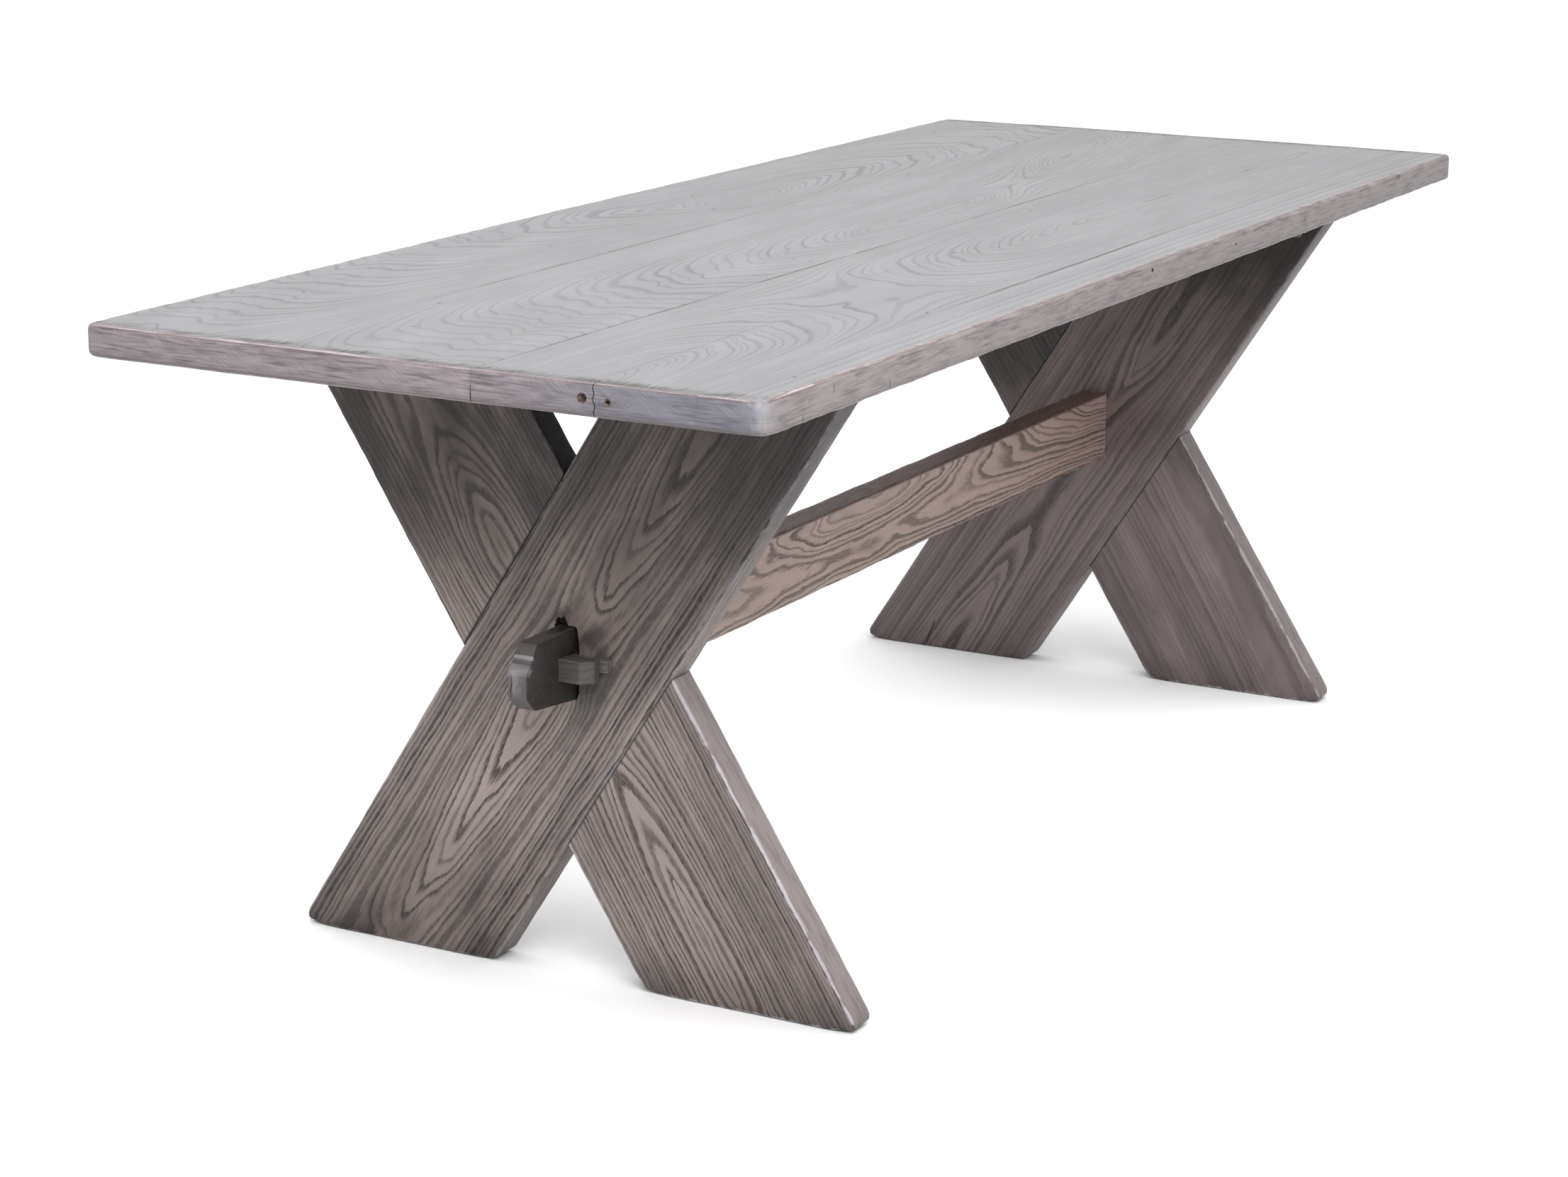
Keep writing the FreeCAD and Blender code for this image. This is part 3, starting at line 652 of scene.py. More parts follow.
def timber(name, stand, half_size, heart_depth, heart_across, tones, face=20.0, rings=(10.0, 4.8),
           level_depth=32.0, heart_reach=60.0, wander=3.0, comb=0.4, seed=0.0, contrast=1.0, slant=0.0,
           arris_strength=0.6, arris_reach=3.0, roughness=(0.42, 0.62), marks=(), seams=(),
           centre=(0.0, 0.0, 0.0), soil=None, ends=None, end_face=None, edge_face=None, dashes=-0.45,
           late_wood=0.4, uneven=0.75, arris_cell=(26.0, 9.0, 9.0), rim=0.0, cloud=0.5,
           fibre_strength=0.25, band_strength=(0.95, 0.95), heartwood=0.0, wear_from=None, spread=0.0):
    """Worn timber with its own heart line: points of depth and offset along the board.

    tones are the pale, middle and dark of the wood and the pale tone of its arrises: worn wood, with a
    painted highlight.
    """
    pale, mid, dark, arris_wear_and_highlight = tones
    material, desk, shader, table_mm = new_finish(name)
    origin, axes = stand
    away = desk.vector("SUBTRACT", table_mm, tuple(origin))
    along, across, depth = [desk.vector("DOT_PRODUCT", away, tuple(axis)) for axis in axes]
    place_mm = desk.join(along, across, depth)
    figure = desk.group(FIGURE, Place=desk.join(along, across, depth - face), Shift=seed,
                        Heart_Across=desk.curve(along, heart_across),
                        Heart_Depth=desk.curve(along, heart_depth), Level_Depth=level_depth,
                        Heart_Reach=heart_reach, Inner_Ring=rings[0], Edge_Ring=rings[1], Wander=wander,
                        Comb=comb, Dashes=dashes, Late_Wood=late_wood, Spread=spread)
    weather = desk.group(WEATHER, Place=place_mm, Shift=seed)
    by_height = along - across * slant
    middle = desk.vector("SUBTRACT", desk.join(by_height, across, depth), centre)
    worn = desk.group(WORN_ARRIS, Place=middle, Half_Size=half_size, Reach=arris_reach, Uneven=uneven,
                      Cell=arris_cell, Shift=seed)
    wear = worn["Wear"]
    if wear_from is not None:
        wear = wear * desk.fit(depth, wear_from - 6.0, wear_from + 6.0)

    edge_band, heart_band = band_strength
    band_share = figure["Heartwood"] * (heart_band - edge_band) + edge_band
    ground = desk.mix(figure["Ring Tone"] * 0.45, pale, mid)
    for share, colour in ((weather["Stain"] * cloud, mid), (figure["Heartwood"] * heartwood, pale),
                          (desk.fit(figure["Fibre"], 0.35, 0.65) * fibre_strength, dark),
                          (figure["Band"] * band_share, dark), (figure["Pores"] * (0.55 * contrast), dark),
                          (weather["Specks"] * 0.5, dark), (weather["Rubbed"] * 0.25, pale)):
        ground = desk.mix(share, ground, colour)
    height = figure["Band"] * -0.6 + figure["Fibre"] * 0.5 + figure["Pores"] * -0.6
    table_along, table_across, _ = desk.split(middle)
    places = (along, table_across, depth, desk.join(table_along + table_across, depth), place_mm)
    nicks, fringes = None, []
    for sawn, distance in ((end_face, abs(along)), (edge_face, abs(table_across))):
        if sawn is not None:
            share, plain, fringe, nicks = sawn_face(desk, sawn, distance, places, half_size[2], dark,
                                                    weather["Specks"])
            ground = desk.mix(share, ground, plain)
            if fringe:
                fringes.append(fringe)
    if nicks:
        height = height + nicks * -NICK_DEPTH
    if ends is not None:
        at_end = desk.fit(abs(along), ends["from"], ends["to"])
        at_cheek = desk.fit(abs(depth), ends["cheek_from"] - 0.8, ends["cheek_from"])
        sawn_place = desk.turn(place_mm, math.radians(ends["saw_turn"]))
        saw = desk.fit(streaks(desk, sawn_place, (22.0, 1.5, 1.5), 3.0, 4.0), 0.4, 0.62)
        end_tone = desk.mix(at_cheek, ends["tone"], desk.mix(saw, ends["cheek"], ends["saw"]))
        ground = desk.mix(at_end * ends["share"], ground, end_tone)
    # Darker near a leg's foot from grime, and darker towards its head as painted shade where the top
    # overhangs.
    if soil is not None:
        grime_and_shade = desk.curve(by_height, soil) * (weather["Stain"] * 0.6 + 0.7)
        ground = desk.mix(grime_and_shade, ground, SOIL_AND_SHADE_TONE, "MULTIPLY")
    if rim:
        ground = desk.mix(worn["Rim"] * rim, ground, RIM)
    if isinstance(arris_strength, list):
        arris_strength = desk.curve(along, arris_strength)
    # The arrises' pale tone: worn wood, with a painted highlight along them.
    ground = desk.mix(wear * arris_strength, ground, arris_wear_and_highlight)
    for fringe in fringes:
        ground = desk.mix(fringe, ground, FRINGE)
    for line, strength in seams:
        mask = desk.group(SEAM, Place=place_mm, Shift=seed + line["Offset"], **line)["Mask"]
        if isinstance(strength, list):
            strength = desk.curve(along, strength)
        ground = desk.mix(mask * strength, ground, SEAM_DARK)
    for shape, colour, strength, dip in marks:
        mask = desk.group(MARK, Place=place_mm, **shape)["Mask"]
        ground = desk.mix(mask * strength, ground, colour)
        height = height - mask * dip
    rough = desk.fit(figure["Band"], 0.0, 1.0, *roughness, soft=False)
    desk.feed(shader["Base Color"], ground)
    desk.feed(shader["Roughness"], wear * -0.15 + rough)
    desk.bump(shader, height, GRAIN_RELIEF, GRAIN_DEPTH)
    return material


def dress(piece, material, slot, *stands_for, body="root"):
    """Gives a piece its finish and ties it to its body and the nodes it stands for."""
    piece.data.materials.clear()
    piece.data.materials.append(material)
    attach(piece, body)
    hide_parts(*stands_for)


# ---------------------------------------------------------------- the top
# The fourth tone of each set is the arrises': worn wood, with a painted highlight.
TOP_TONES = (tone(158, 157, 160), tone(143, 141, 144), tone(80, 78, 81), tone(236, 224, 227))
TOP_END = {"from": 1012.5, "pale": tone(192, 180, 184), "dull": tone(114, 105, 109), "low": 0.35,
           "nicks": 0.5, "frayed": 6.0, "bruise": 14.0, "saw": 0.3, "fringe": 1.0,
           "beyond": (-40.0, -290.0), "far_pale": tone(158, 155, 165), "far_dull": tone(108, 106, 117)}
TOP_EDGE = {"from": 394.5, "pale": tone(182, 171, 172), "dull": tone(126, 116, 117), "low": 0.2,
            "nicks": 0.8, "frayed": 14.0, "bruise": 11.0,
            "shade": [(-1016, 0.0), (-700, 0.0), (-250, 0.1), (300, 0.09), (1016, 0.03)]}
PITCH = tone(44, 40, 40)
# Pale bluish-white on the worn near corner of the top: a painted highlight.
CORNER_HIGHLIGHT = tone(196, 198, 206)
TOP_MARKS = (
    (-728, 155, 2.4), (-855, 101, 2.0), (-747, 319, 2.2), (-800, 319, 1.6), (-341, 259, 2.2), (15, 239, 2.6),
    (-263, -5, 2.0), (-272, -31, 1.8), (-278, -56, 1.6), (-138, -172, 2.4), (-513, -321, 2.2),
    (-478, -320, 1.6), (-894, -367, 2.2), (-507, 94, 1.8), (105, 322, 2.2), (860, 342, 2.4), (610, 334, 2.0),
    (251, 169, 2.0), (426, 170, 2.2), (207, -112, 2.2), (248, -78, 1.8), (285, -226, 2.2), (-197, 380, 1.2),
    (-198, 366, 1.2), (-197, 352, 1.4), (-196, 339, 1.2),
)

PLANKS = {
    "top_plank_1": {
        "depth": [(-1016, 200), (-631, 144), (-291, 92), (9, 44), (120, 12), (230, 34), (500, 74),
                  (1016, 140)],
        "across": [(-1016, 100), (-640, 84), (-459, 84), (-249, 42), (-146, 40), (-44, 14), (16, -14),
                   (213, -37), (354, -28), (1016, -50)],
        "rings": (5.2, 5.2), "seed": 3.1},
    "top_plank_2": {
        "depth": [(-1016, 190), (-600, 122), (-200, 62), (185, 12), (430, 52), (700, 20), (1016, 80)],
        "across": [(-1016, -66), (-200, -56), (185, -60), (435, -39), (760, 20), (1016, 60)],
        "rings": (4.8, 5.0), "seed": 7.7},
    "top_plank_3": {
        "depth": [(-1016, 4), (-935, 22), (-800, 58), (-594, 104), (-425, 120), (-317, 102), (-186, 76),
                  (36, 36), (250, 14), (716, 10), (1016, 60)],
        "across": [(-1016, -14), (-450, -14), (266, -5), (1016, -30)],
        "rings": (4.7, 4.8), "seed": 12.4},
    "top_plank_4": {
        "depth": [(-1016, 60), (0, 54), (1016, 62)],
        "across": [(-1016, -70), (0, -62), (1016, -75)],
        "rings": (9.0, 6.0), "seed": 18.9},
}

SEAMS = (
    [(-1016, 0.0), (-700, 0.1), (-478, 0.7), (-285, 0.7), (-100, 0.5), (150, 0.15), (1016, 0.2)],
    [(-1016, 0.15), (-960, 0.25), (-640, 0.7), (-480, 0.3), (-390, 0.8), (-200, 0.8), (-20, 0.2),
     (300, 0.7), (450, 0.2), (1016, 0.25)],
    [(-1016, 0.1), (-500, 0.15), (-300, 0.8), (0, 0.9), (150, 0.3), (1016, 0.2)],
)
END_WEAR = [(-400, 0.0), (-385, 0.1), (-350, 1.4), (-250, 2.0), (0, 2.0), (50, 1.4), (100, 0.6),
            (150, 0.1), (200, 0.5), (250, 1.2), (300, 1.2), (350, 0.8), (390, 0.1), (400, 0.0)]
BACK_WEAR = [(-1016, 0.0), (-76, 0.1), (285, 1.5), (932, 2.7), (1016, 2.7)]
DEEPEST_WEAR = 3.4
NEAR_END = -1016.0


def top_wear(x, y):
    """How far years of use have lowered the upper face: less at the near end's corners."""
    near_end = np.exp(-(((x - NEAR_END) / 150.0) ** 2))
    at_back = np.clip((y - 200.0) / 180.0, 0.0, 1.0)
    field = 1.9 + 0.35 * sway(x, 2.0, 900.0) + 0.3 * sway(y, 5.0, 310.0)
    field = (1.0 - at_back) * field + at_back * np.interp(x, *zip(*BACK_WEAR))
    field = near_end * np.interp(y, *zip(*END_WEAR)) + (1.0 - near_end) * field
    return np.clip(field, 0.0, DEEPEST_WEAR)


def plank_marks(index, low_y, high_y, middle_y):
    """Old nail holes and knocks on a plank, and a painted highlight on its worn round corner."""
    marks = [spot((x, y - middle_y, 18.0), (1.6 * size, size, 9.0), PITCH, 0.75, ragged=0.8, dip=2.0)
             for x, y, size in TOP_MARKS if low_y < y <= high_y]
    if index == 1:
        marks.append(spot((-325.0, 328.0 - middle_y, 18.0), (20.0, 1.3, 9.0), PITCH, 0.6))
    if index == 4:
        # Painted highlight on the rounded near corner.
        marks.append(spot((-1012.0, -397.0 - middle_y, 6.0), (24.0, 20.0, 30.0), CORNER_HIGHLIGHT, 0.5,
                          ragged=1.6, dip=0.0, soft=1.0))
    return marks


def make_end_cuts(piece, index):
    """Cracks, old screw holes and nicks in the edges of a plank."""
    tools = []
    if index == 2:
        tools.append(crack("seam_tool", [(-74.4, 703.0), (-74.3, 712.0), (-74.5, 724.0)], 1.0,
                           -1017.0, -1004.0))
    if index == 3:
        split = [(-216.0, 702.0), (-214.6, 709.0), (-216.2, 716.0), (-213.6, 722.0), (-215.4, 728.0),
                 (-213.8, 734.0), (-214.8, 742.0)]
        shake = [(-1000.0, -209.0), (-900.0, -206.5), (-800.0, -208.5), (-700.0, -206.5), (-640.0, -207.5)]
        tools.append(crack("split_tool", split, 1.1, -1017.0, -1003.0))
        tools.append(crack("shake_tool", shake, 0.4, 736.6, 742.0, "xyz"))
        for y, z, reach in ((-146.0, 706.0, 3.0), (-145.4, 713.0, 4.5), (-145.8, 723.0, 2.5),
                            (-145.2, 729.0, 4.0)):
            tools.append(crack("tick_tool", [(y, z), (y + 0.5, z + reach)], 0.5, -1017.0, -1012.5))
        cut(piece, hollow(peg("sink_tool", (-1014.0, -201.7, 722.5), 2.6, 6.0, (-1, 0, 0), flare=3.2),
                          RUSTY_HOLLOW))
        tools.append(peg("pin_tool", (-1009.0, -202.6, 721.6), 1.1, 10.0, (1, 0, 0)))
        cut(piece, hollow(peg("nail_sink_tool", (-1015.5, -230.5, 720.9), 2.6, 3.0, (-1, 0, 0), 9, 2.0),
                          RUSTY_HOLLOW))
        tools.append(peg("nail_tool", (-1013.0, -229.4, 720.8), 1.7, 9.0, (-1, 0, 0), 9))
    if index == 4:
        tools.append(peg("nail_tool", (-84.0, -398.0, 729.0), 2.6, 12.0, (0, 1, 0), 12))
        tools.append(peg("pin_tool", (180.0, -398.0, 723.0), 1.7, 12.0, (0, 1, 0), 10))
        for x, z in ((-876.0, 728.0), (-756.0, 711.0), (-939.0, 708.0), (420.0, 722.0)):
            tick = [(x, z - 6.0), (x + 0.8, z), (x - 0.4, z + 6.0)]
            tools.append(crack("tick_tool", tick, 1.1, -401.0, -396.0, "xzy"))
        cut(piece, peg("gouge_tool", (778.0, -403.6, 731.0), 6.0, 26.0, (1, 0, 0.1), 16))
    if tools:
        cut(piece, *[hollow(tool) for tool in tools])


def make_top():
    """Four planks, edge to edge, with rounded outer corners."""
    for index, (node, figure) in enumerate(PLANKS.items(), start=1):
        low, high = [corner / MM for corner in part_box(node)]
        middle = (low + high) / 2.0
        size = (high.y - low.y, high.z - low.z)
        arrises, corners, worn_corners = [JOINT_ARRIS] * 4, (0.0, 0.0), []
        if index == 1:
            arrises[0], arrises[3] = 4.5, 3.5
            corners = (0.0, 6.0)
            worn_corners = [(low.x, 0, 0.5, 20.0), (low.x, 3, 3.5, 22.0), (high.x, 0, 3.0, 20.0)]
        if index == 4:
            arrises[1], arrises[2] = 6.0, 3.5
            corners = (14.0, 0.0)
            worn_corners = [(low.x, 1, 6.0, 26.0), (low.x, 2, 4.0, 20.0), (high.x, 1, 3.0, 20.0)]
        piece = board(node + "_timber", size, (low.x, high.x), arrises, end_arris=5.0,
                      end_corners=corners, wander=0.4 if index == 4 else 0.3, seed=index + 0.5,
                      chips=worn_corners, end_wave=(middle.y, 1.0),
                      hollow=lambda x, y, middle_y=middle.y: top_wear(x, y + middle_y))
        stand = ((0.0, middle.y, middle.z), ((1, 0, 0), (0, 1, 0), (0, 0, 1)))
        place(piece, stand)
        joints = []
        for side, number in ((1, index - 1), (-1, index)):
            if 1 <= number <= len(SEAMS):
                joints.append(({"Across": (0, 1, 0), "Offset": side * size[0] / 2.0, "Width": 2.4,
                                "Open": 0.8}, SEAMS[number - 1]))
        finish = timber(node + "_timber", stand, (high.x, 400.0, size[1] / 2.0), figure["depth"],
                        figure["across"], TOP_TONES, face=size[1] / 2.0, rings=figure["rings"],
                        seed=figure["seed"], contrast=0.55, roughness=(0.38, 0.5), wander=2.0,
                        seams=joints, centre=(0.0, -middle.y, 0.0), arris_reach=3.2,
                        arris_strength=0.95, uneven=0.15, arris_cell=(80.0, 60.0, 20.0), rim=0.6,
                        dashes=-0.2, late_wood=0.2, cloud=0.8, comb=0.12, fibre_strength=0.07,
                        band_strength=(0.13, 0.3), wear_from=2.0, spread=1.0, end_face=TOP_END,
                        edge_face=TOP_EDGE, marks=plank_marks(index, low.y, high.y, middle.y))
        hidden = [f"top_joint_{index}_tongue"] if index < 4 else []
        dress(piece, finish, "top_boards", node, *hidden)
        make_end_cuts(piece, index)
        smooth(piece)


# ---------------------------------------------------------------- the trestles
# The fourth tone is the arrises': worn wood, with a painted highlight.
LEG_TONES = (tone(208, 191, 184), tone(134, 124, 122), tone(36, 33, 33), tone(234, 229, 236))
# The far trestle's tones: its own duller wood, with the pale tone lowered as painted shade for the trestle
# under the table.
FAR_SHADED_TONES = (tone(186, 170, 169), tone(136, 123, 123), tone(44, 40, 40), tone(214, 208, 215))
GRIME = tone(40, 37, 37)
# Dark green-grey round the mortise mouth: grime, with painted shade beside the tenon and under the wedge.
GREEN_GRIME_AND_SHADE = tone(62, 61, 59)
# Pale marks on the tenon's bevels and end: painted highlights.
PAINTED_HIGHLIGHT = tone(226, 222, 228)
# How much each leg darkens along its height: grime near the foot, and painted shade of the top's overhang
# towards the head.
LEG_SOIL_AND_SHADE = [(-430, 0.85), (-400, 0.66), (-330, 0.5), (-250, 0.26), (-180, 0.0), (-90, 0.0), (50, 0.24),
            (220, 0.68), (410, 1.0)]
UPPER_SOIL_AND_SHADE = [(-430, 0.65), (-400, 0.4), (-330, 0.15), (0, 0.12), (110, 0.45), (220, 0.88), (410, 1.0)]
FAR_UPPER_SOIL_AND_SHADE = [(-430, 0.65), (-408, 0.4), (-340, 0.18), (0, 0.25), (60, 0.65), (120, 0.95),
                  (410, 1.0)]
FAR_SOIL_AND_SHADE = [(-430, 0.5), (-408, 0.25), (-340, 0.05), (-100, 0.1), (50, 0.25), (220, 0.65), (410, 1.0)]
EDGE_SHADE = [(-430, 0.0), (40, 0.0), (150, 0.6), (240, 0.85), (410, 0.9)]
# Pale arris strongest on the lower part of a leg: a painted highlight along that edge.
LOWER_ARRIS_HIGHLIGHT = [(-430, 0.75), (-150, 0.9), (-40, 0.8), (30, 0.2), (410, 0.1)]
LEG_CORNERS = (11.0, 20.0)
CUT_THROUGH = 30.0


def leg_axes(lean):
    """Along a leg towards its top, across it, and out of its -X face."""
    along = Vector((0.0, lean * math.cos(LEG_SLOPE), math.sin(LEG_SLOPE)))
    out = Vector((-1.0, 0.0, 0.0))
    return along, out.cross(along), out


def leg_band(lean, low_x, high_x):
    """A cutting tool as wide as a leg, between two levels of X."""
    along, across, _ = leg_axes(lean)
    corners = []
    for end, side in ((-260, -1), (260, -1), (260, 1), (-260, 1)):
        point = along * end + across * (side * LEG_WIDTH / 2.0)
        corners.append((point.y, point.z + CROSSING))
    return prism("lap_tool", corners, low_x, high_x, "yzx")


def mortise_wear(face_x):
    """Where the outer mouth of the mortise is worn wider, beside the tenon and above it."""
    beside = [(-13.0, 319.0), (-13.0, 401.0), (-14.8, 400.0), (-16.8, 384.0), (-17.6, 356.0),
              (-16.4, 328.0)]
    above = [(-4.0, 400.0), (12.5, 400.0), (12.0, 406.0), (9.0, 410.5), (5.0, 409.0), (2.0, 412.0),
             (-1.5, 408.0)]
    tools = []
    for outline, depth in ((beside, 16.0), (above, 7.0)):
        levels = sorted((face_x - math.copysign(depth, face_x), face_x + math.copysign(1.0, face_x)))
        tools.append(hollow(prism("mortise_wear_tool", outline, *levels, "yzx")))
    return tools


def leg_spot(y, z, *look, **more):
    """A mark at a place on the -X face of a leg that leans away from +Y."""
    along, across, _ = leg_axes(-1)
    point = Vector((0.0, y, z - CROSSING))
    return spot((point.dot(along), point.dot(across), 20.0), *look, **more)


def leg_figures():
    """The heart line, ring widths and marks of each leg board."""
    # Dark ragged patches round the mortise mouth: grime and wear, with painted shade beside the tenon and
    # under the wedge.
    ragged_wear_and_shade = [
        leg_spot(6.0, 410.0, (16.0, 10.0, 30.0), GRIME, ragged=1.2, dip=3.0, soft=0.7),
        leg_spot(-14.0, 424.0, (34.0, 9.0, 30.0), GREEN_GRIME_AND_SHADE, 0.6, 1.0, soft=0.9, turn=-10.0),
        leg_spot(-34.0, 392.0, (34.0, 15.0, 30.0), GREEN_GRIME_AND_SHADE, 0.75, 1.0, soft=0.9, turn=20.0),
        leg_spot(-36.0, 342.0, (48.0, 26.0, 30.0), GREEN_GRIME_AND_SHADE, 0.8, 1.0, soft=0.9),
        leg_spot(-24.0, 306.0, (60.0, 22.0, 30.0), GREEN_GRIME_AND_SHADE, 0.6, 1.0, soft=0.9),
    ]
    old_holes = [
        leg_spot(-132.4, 564.0, (3.6, 3.6, 30.0), GRIME, ragged=0.3, dip=4.0),
        leg_spot(-120.4, 543.0, (3.2, 3.2, 30.0), GRIME, ragged=0.3, dip=4.0),
        leg_spot(252.0, 20.0, (24.0, 2.6, 30.0), GRIME, dip=4.0, turn=-12.0),
    ]
    near_edge = {"from": 111.0, "pale": tone(190, 178, 177), "dull": tone(140, 128, 127),
                 "shade": EDGE_SHADE}
    # The far trestle's board edges are darker than the near ones: painted shade.
    far_shaded_edge = {"from": 111.0, "pale": tone(176, 164, 163), "dull": tone(128, 117, 116),
                "shade": EDGE_SHADE}
    return {
        ("left", -1): (
            [(-434, 62), (-418, 56), (-373, 48), (-311, 39), (-203, 27), (-110, 16), (-70, 9), (-25, 30),
             (15, 54), (38, 54), (103, 44), (179, 33), (271, 20), (350, 11), (410, 6)],
            [(-434, 10), (-203, 4), (103, 0), (410, -2)],
            {"rings": (10.5, 5.4), "seed": 1.3, "marks": ragged_wear_and_shade}),
        ("left", 1): (
            [(-434, 14), (-350, 4), (-296, 7), (-208, 17), (-151, 28), (-122, 37), (-60, 48), (0, 50),
             (90, 30), (140, 12), (196, 24), (220, 33), (250, 42), (289, 52), (410, 66)],
            [(-434, 10), (-200, 8), (100, 4), (410, 6)],
            {"rings": (10.5, 5.4), "seed": 5.9, "arris_strength": LOWER_ARRIS_HIGHLIGHT, "soil": UPPER_SOIL_AND_SHADE,
             "edge_face": near_edge}),
        ("right", -1): (
            [(-434, 6), (-368, 14), (-308, 24), (-221, 34), (-122, 44), (0, 42), (160, 14), (238, 9),
             (410, 32)],
            [(-434, -7), (410, -7)],
            {"rings": (13.0, 6.0), "seed": 9.2, "contrast": 0.6, "dashes": -0.3, "marks": old_holes,
             "tones": FAR_SHADED_TONES, "soil": FAR_SOIL_AND_SHADE, "band_strength": (0.35, 0.8)}),
        ("right", 1): (
            [(-434, 60), (0, 74), (410, 66)],
            [(-434, -140), (0, -150), (410, -135)],
            {"rings": (16.0, 9.0), "seed": 14.6, "contrast": 0.4, "arris_strength": LOWER_ARRIS_HIGHLIGHT,
             "dashes": -0.3, "tones": FAR_SHADED_TONES, "soil": FAR_UPPER_SOIL_AND_SHADE, "band_strength": (0.3, 0.3),
             "heartwood": 0.0, "edge_face": far_shaded_edge}),
    }


def make_trestle(side, centre_x):
    """Two boards half-lapped where they cross, with the mortise through both."""
    sine = math.sin(LEG_SLOPE)
    span = (-CROSSING / sine, (LEG_TOP - CROSSING) / sine)
    half, foot, head = MORTISE
    for lean in (-1, 1):
        along, across, out = leg_axes(lean)
        slant = -across.z / sine
        depth, offset, looks = leg_figures()[(side, lean)]
        whole_outside = (lean == -1) == (side == "left")
        node = f"{side}_trestle_{'outer' if whole_outside else 'inner'}_leg"
        piece = board(node + "_timber", (LEG_WIDTH, LEG_THICKNESS), span, (3.0, 3.0, 3.0, 3.0),
                      end_arris=4.0, end_corners=LEG_CORNERS[::-lean],
                      slant=slant, wander=0.3, seed=looks["seed"])
        stand = ((centre_x, 0.0, CROSSING), (along, across, out))
        place(piece, stand)
        lap_x = sorted((centre_x, centre_x - lean * LEG_THICKNESS))
        cut(piece, leg_band(-lean, *lap_x))
        _, other, _ = leg_axes(-lean)
        line = {"Across": (other.dot(along), other.dot(across), 0.0), "Width": 2.2, "Open": 0.95}
        laps = [({**line, "Offset": edge * LEG_WIDTH / 2.0}, 0.85) for edge in (-1, 1) if lean == 1]
        settings = {"tones": LEG_TONES, "soil": LEG_SOIL_AND_SHADE, "heart_reach": 48.0, "arris_reach": 4.0,
                    "arris_strength": 0.25, "late_wood": 0.38, "wander": 4.0, "dashes": -0.4,
                    "cloud": 0.7, "comb": 0.22, "fibre_strength": 0.16, "heartwood": 0.8,
                    "band_strength": (1.0, 0.95), **looks}
        finish = timber(node + "_timber", stand,
                        (LEG_TOP / 2.0 / sine, LEG_WIDTH / 2.0, LEG_THICKNESS / 2.0), depth, offset,
                        face=LEG_THICKNESS / 2.0, slant=slant, seams=laps,
                        centre=((span[0] + span[1]) / 2.0, 0.0, 0.0), **settings)
        dress(piece, finish, "leg_boards", node)
        mortise = prism("mortise_tool", [(-half, foot), (half, foot), (half, head), (-half, head)],
                        centre_x - CUT_THROUGH, centre_x + CUT_THROUGH, "yzx")
        cut(piece, hollow(mortise))
        if whole_outside:
            cut(piece, *mortise_wear(math.copysign(TRESTLE_FACE, centre_x)))
        smooth(piece)


# ---------------------------------------------------------------- stretcher and wedges
RAIL_TONES = (tone(238, 210, 199), tone(208, 181, 171), tone(56, 45, 42), tone(214, 192, 184))
RAIL_EDGE = {"from": 45.5, "pale": tone(156, 128, 118), "dull": tone(108, 82, 73)}
RAIL_DEPTH = [(-825, 60), (-500, 74), (-250, 96), (-60, 118), (100, 104), (250, 80), (400, 54),
              (550, 28), (690, 10), (825, 26)]
RAIL_ACROSS = [(-825, 24), (-400, 34), (0, 46), (400, 50), (690, 44), (825, 20)]
TENON_TONES = {"from": 686.0, "to": 692.0, "share": 0.97, "tone": tone(96, 90, 91),
               "cheek": tone(50, 48, 48), "cheek_from": 11.6, "saw": tone(26, 25, 26), "saw_turn": 52.0}
TENON_HEAD = ((728, 320), (808, 328), (822.5, 341.5), (825, 345), (825, 371.5), (824.2, 374.6),
              (815.2, 382.0), (814, 384.6), (809.6, 390.2), (808.2, 393.6), (803, 400))
CHECK = [(7.5, 371.0), (6.4, 362.0), (8.0, 352.0), (7.0, 344.0)]
WEDGE_TONES = (tone(112, 108, 103), tone(92, 88, 84), tone(46, 43, 41), tone(158, 156, 154))
WEDGE_TAPER = 1.0 / 12.0
WEDGES_MEET = TRESTLE_FACE + 15.2
WEDGE_GAP = 0.05
WEDGES_MIDDLE = 748.0


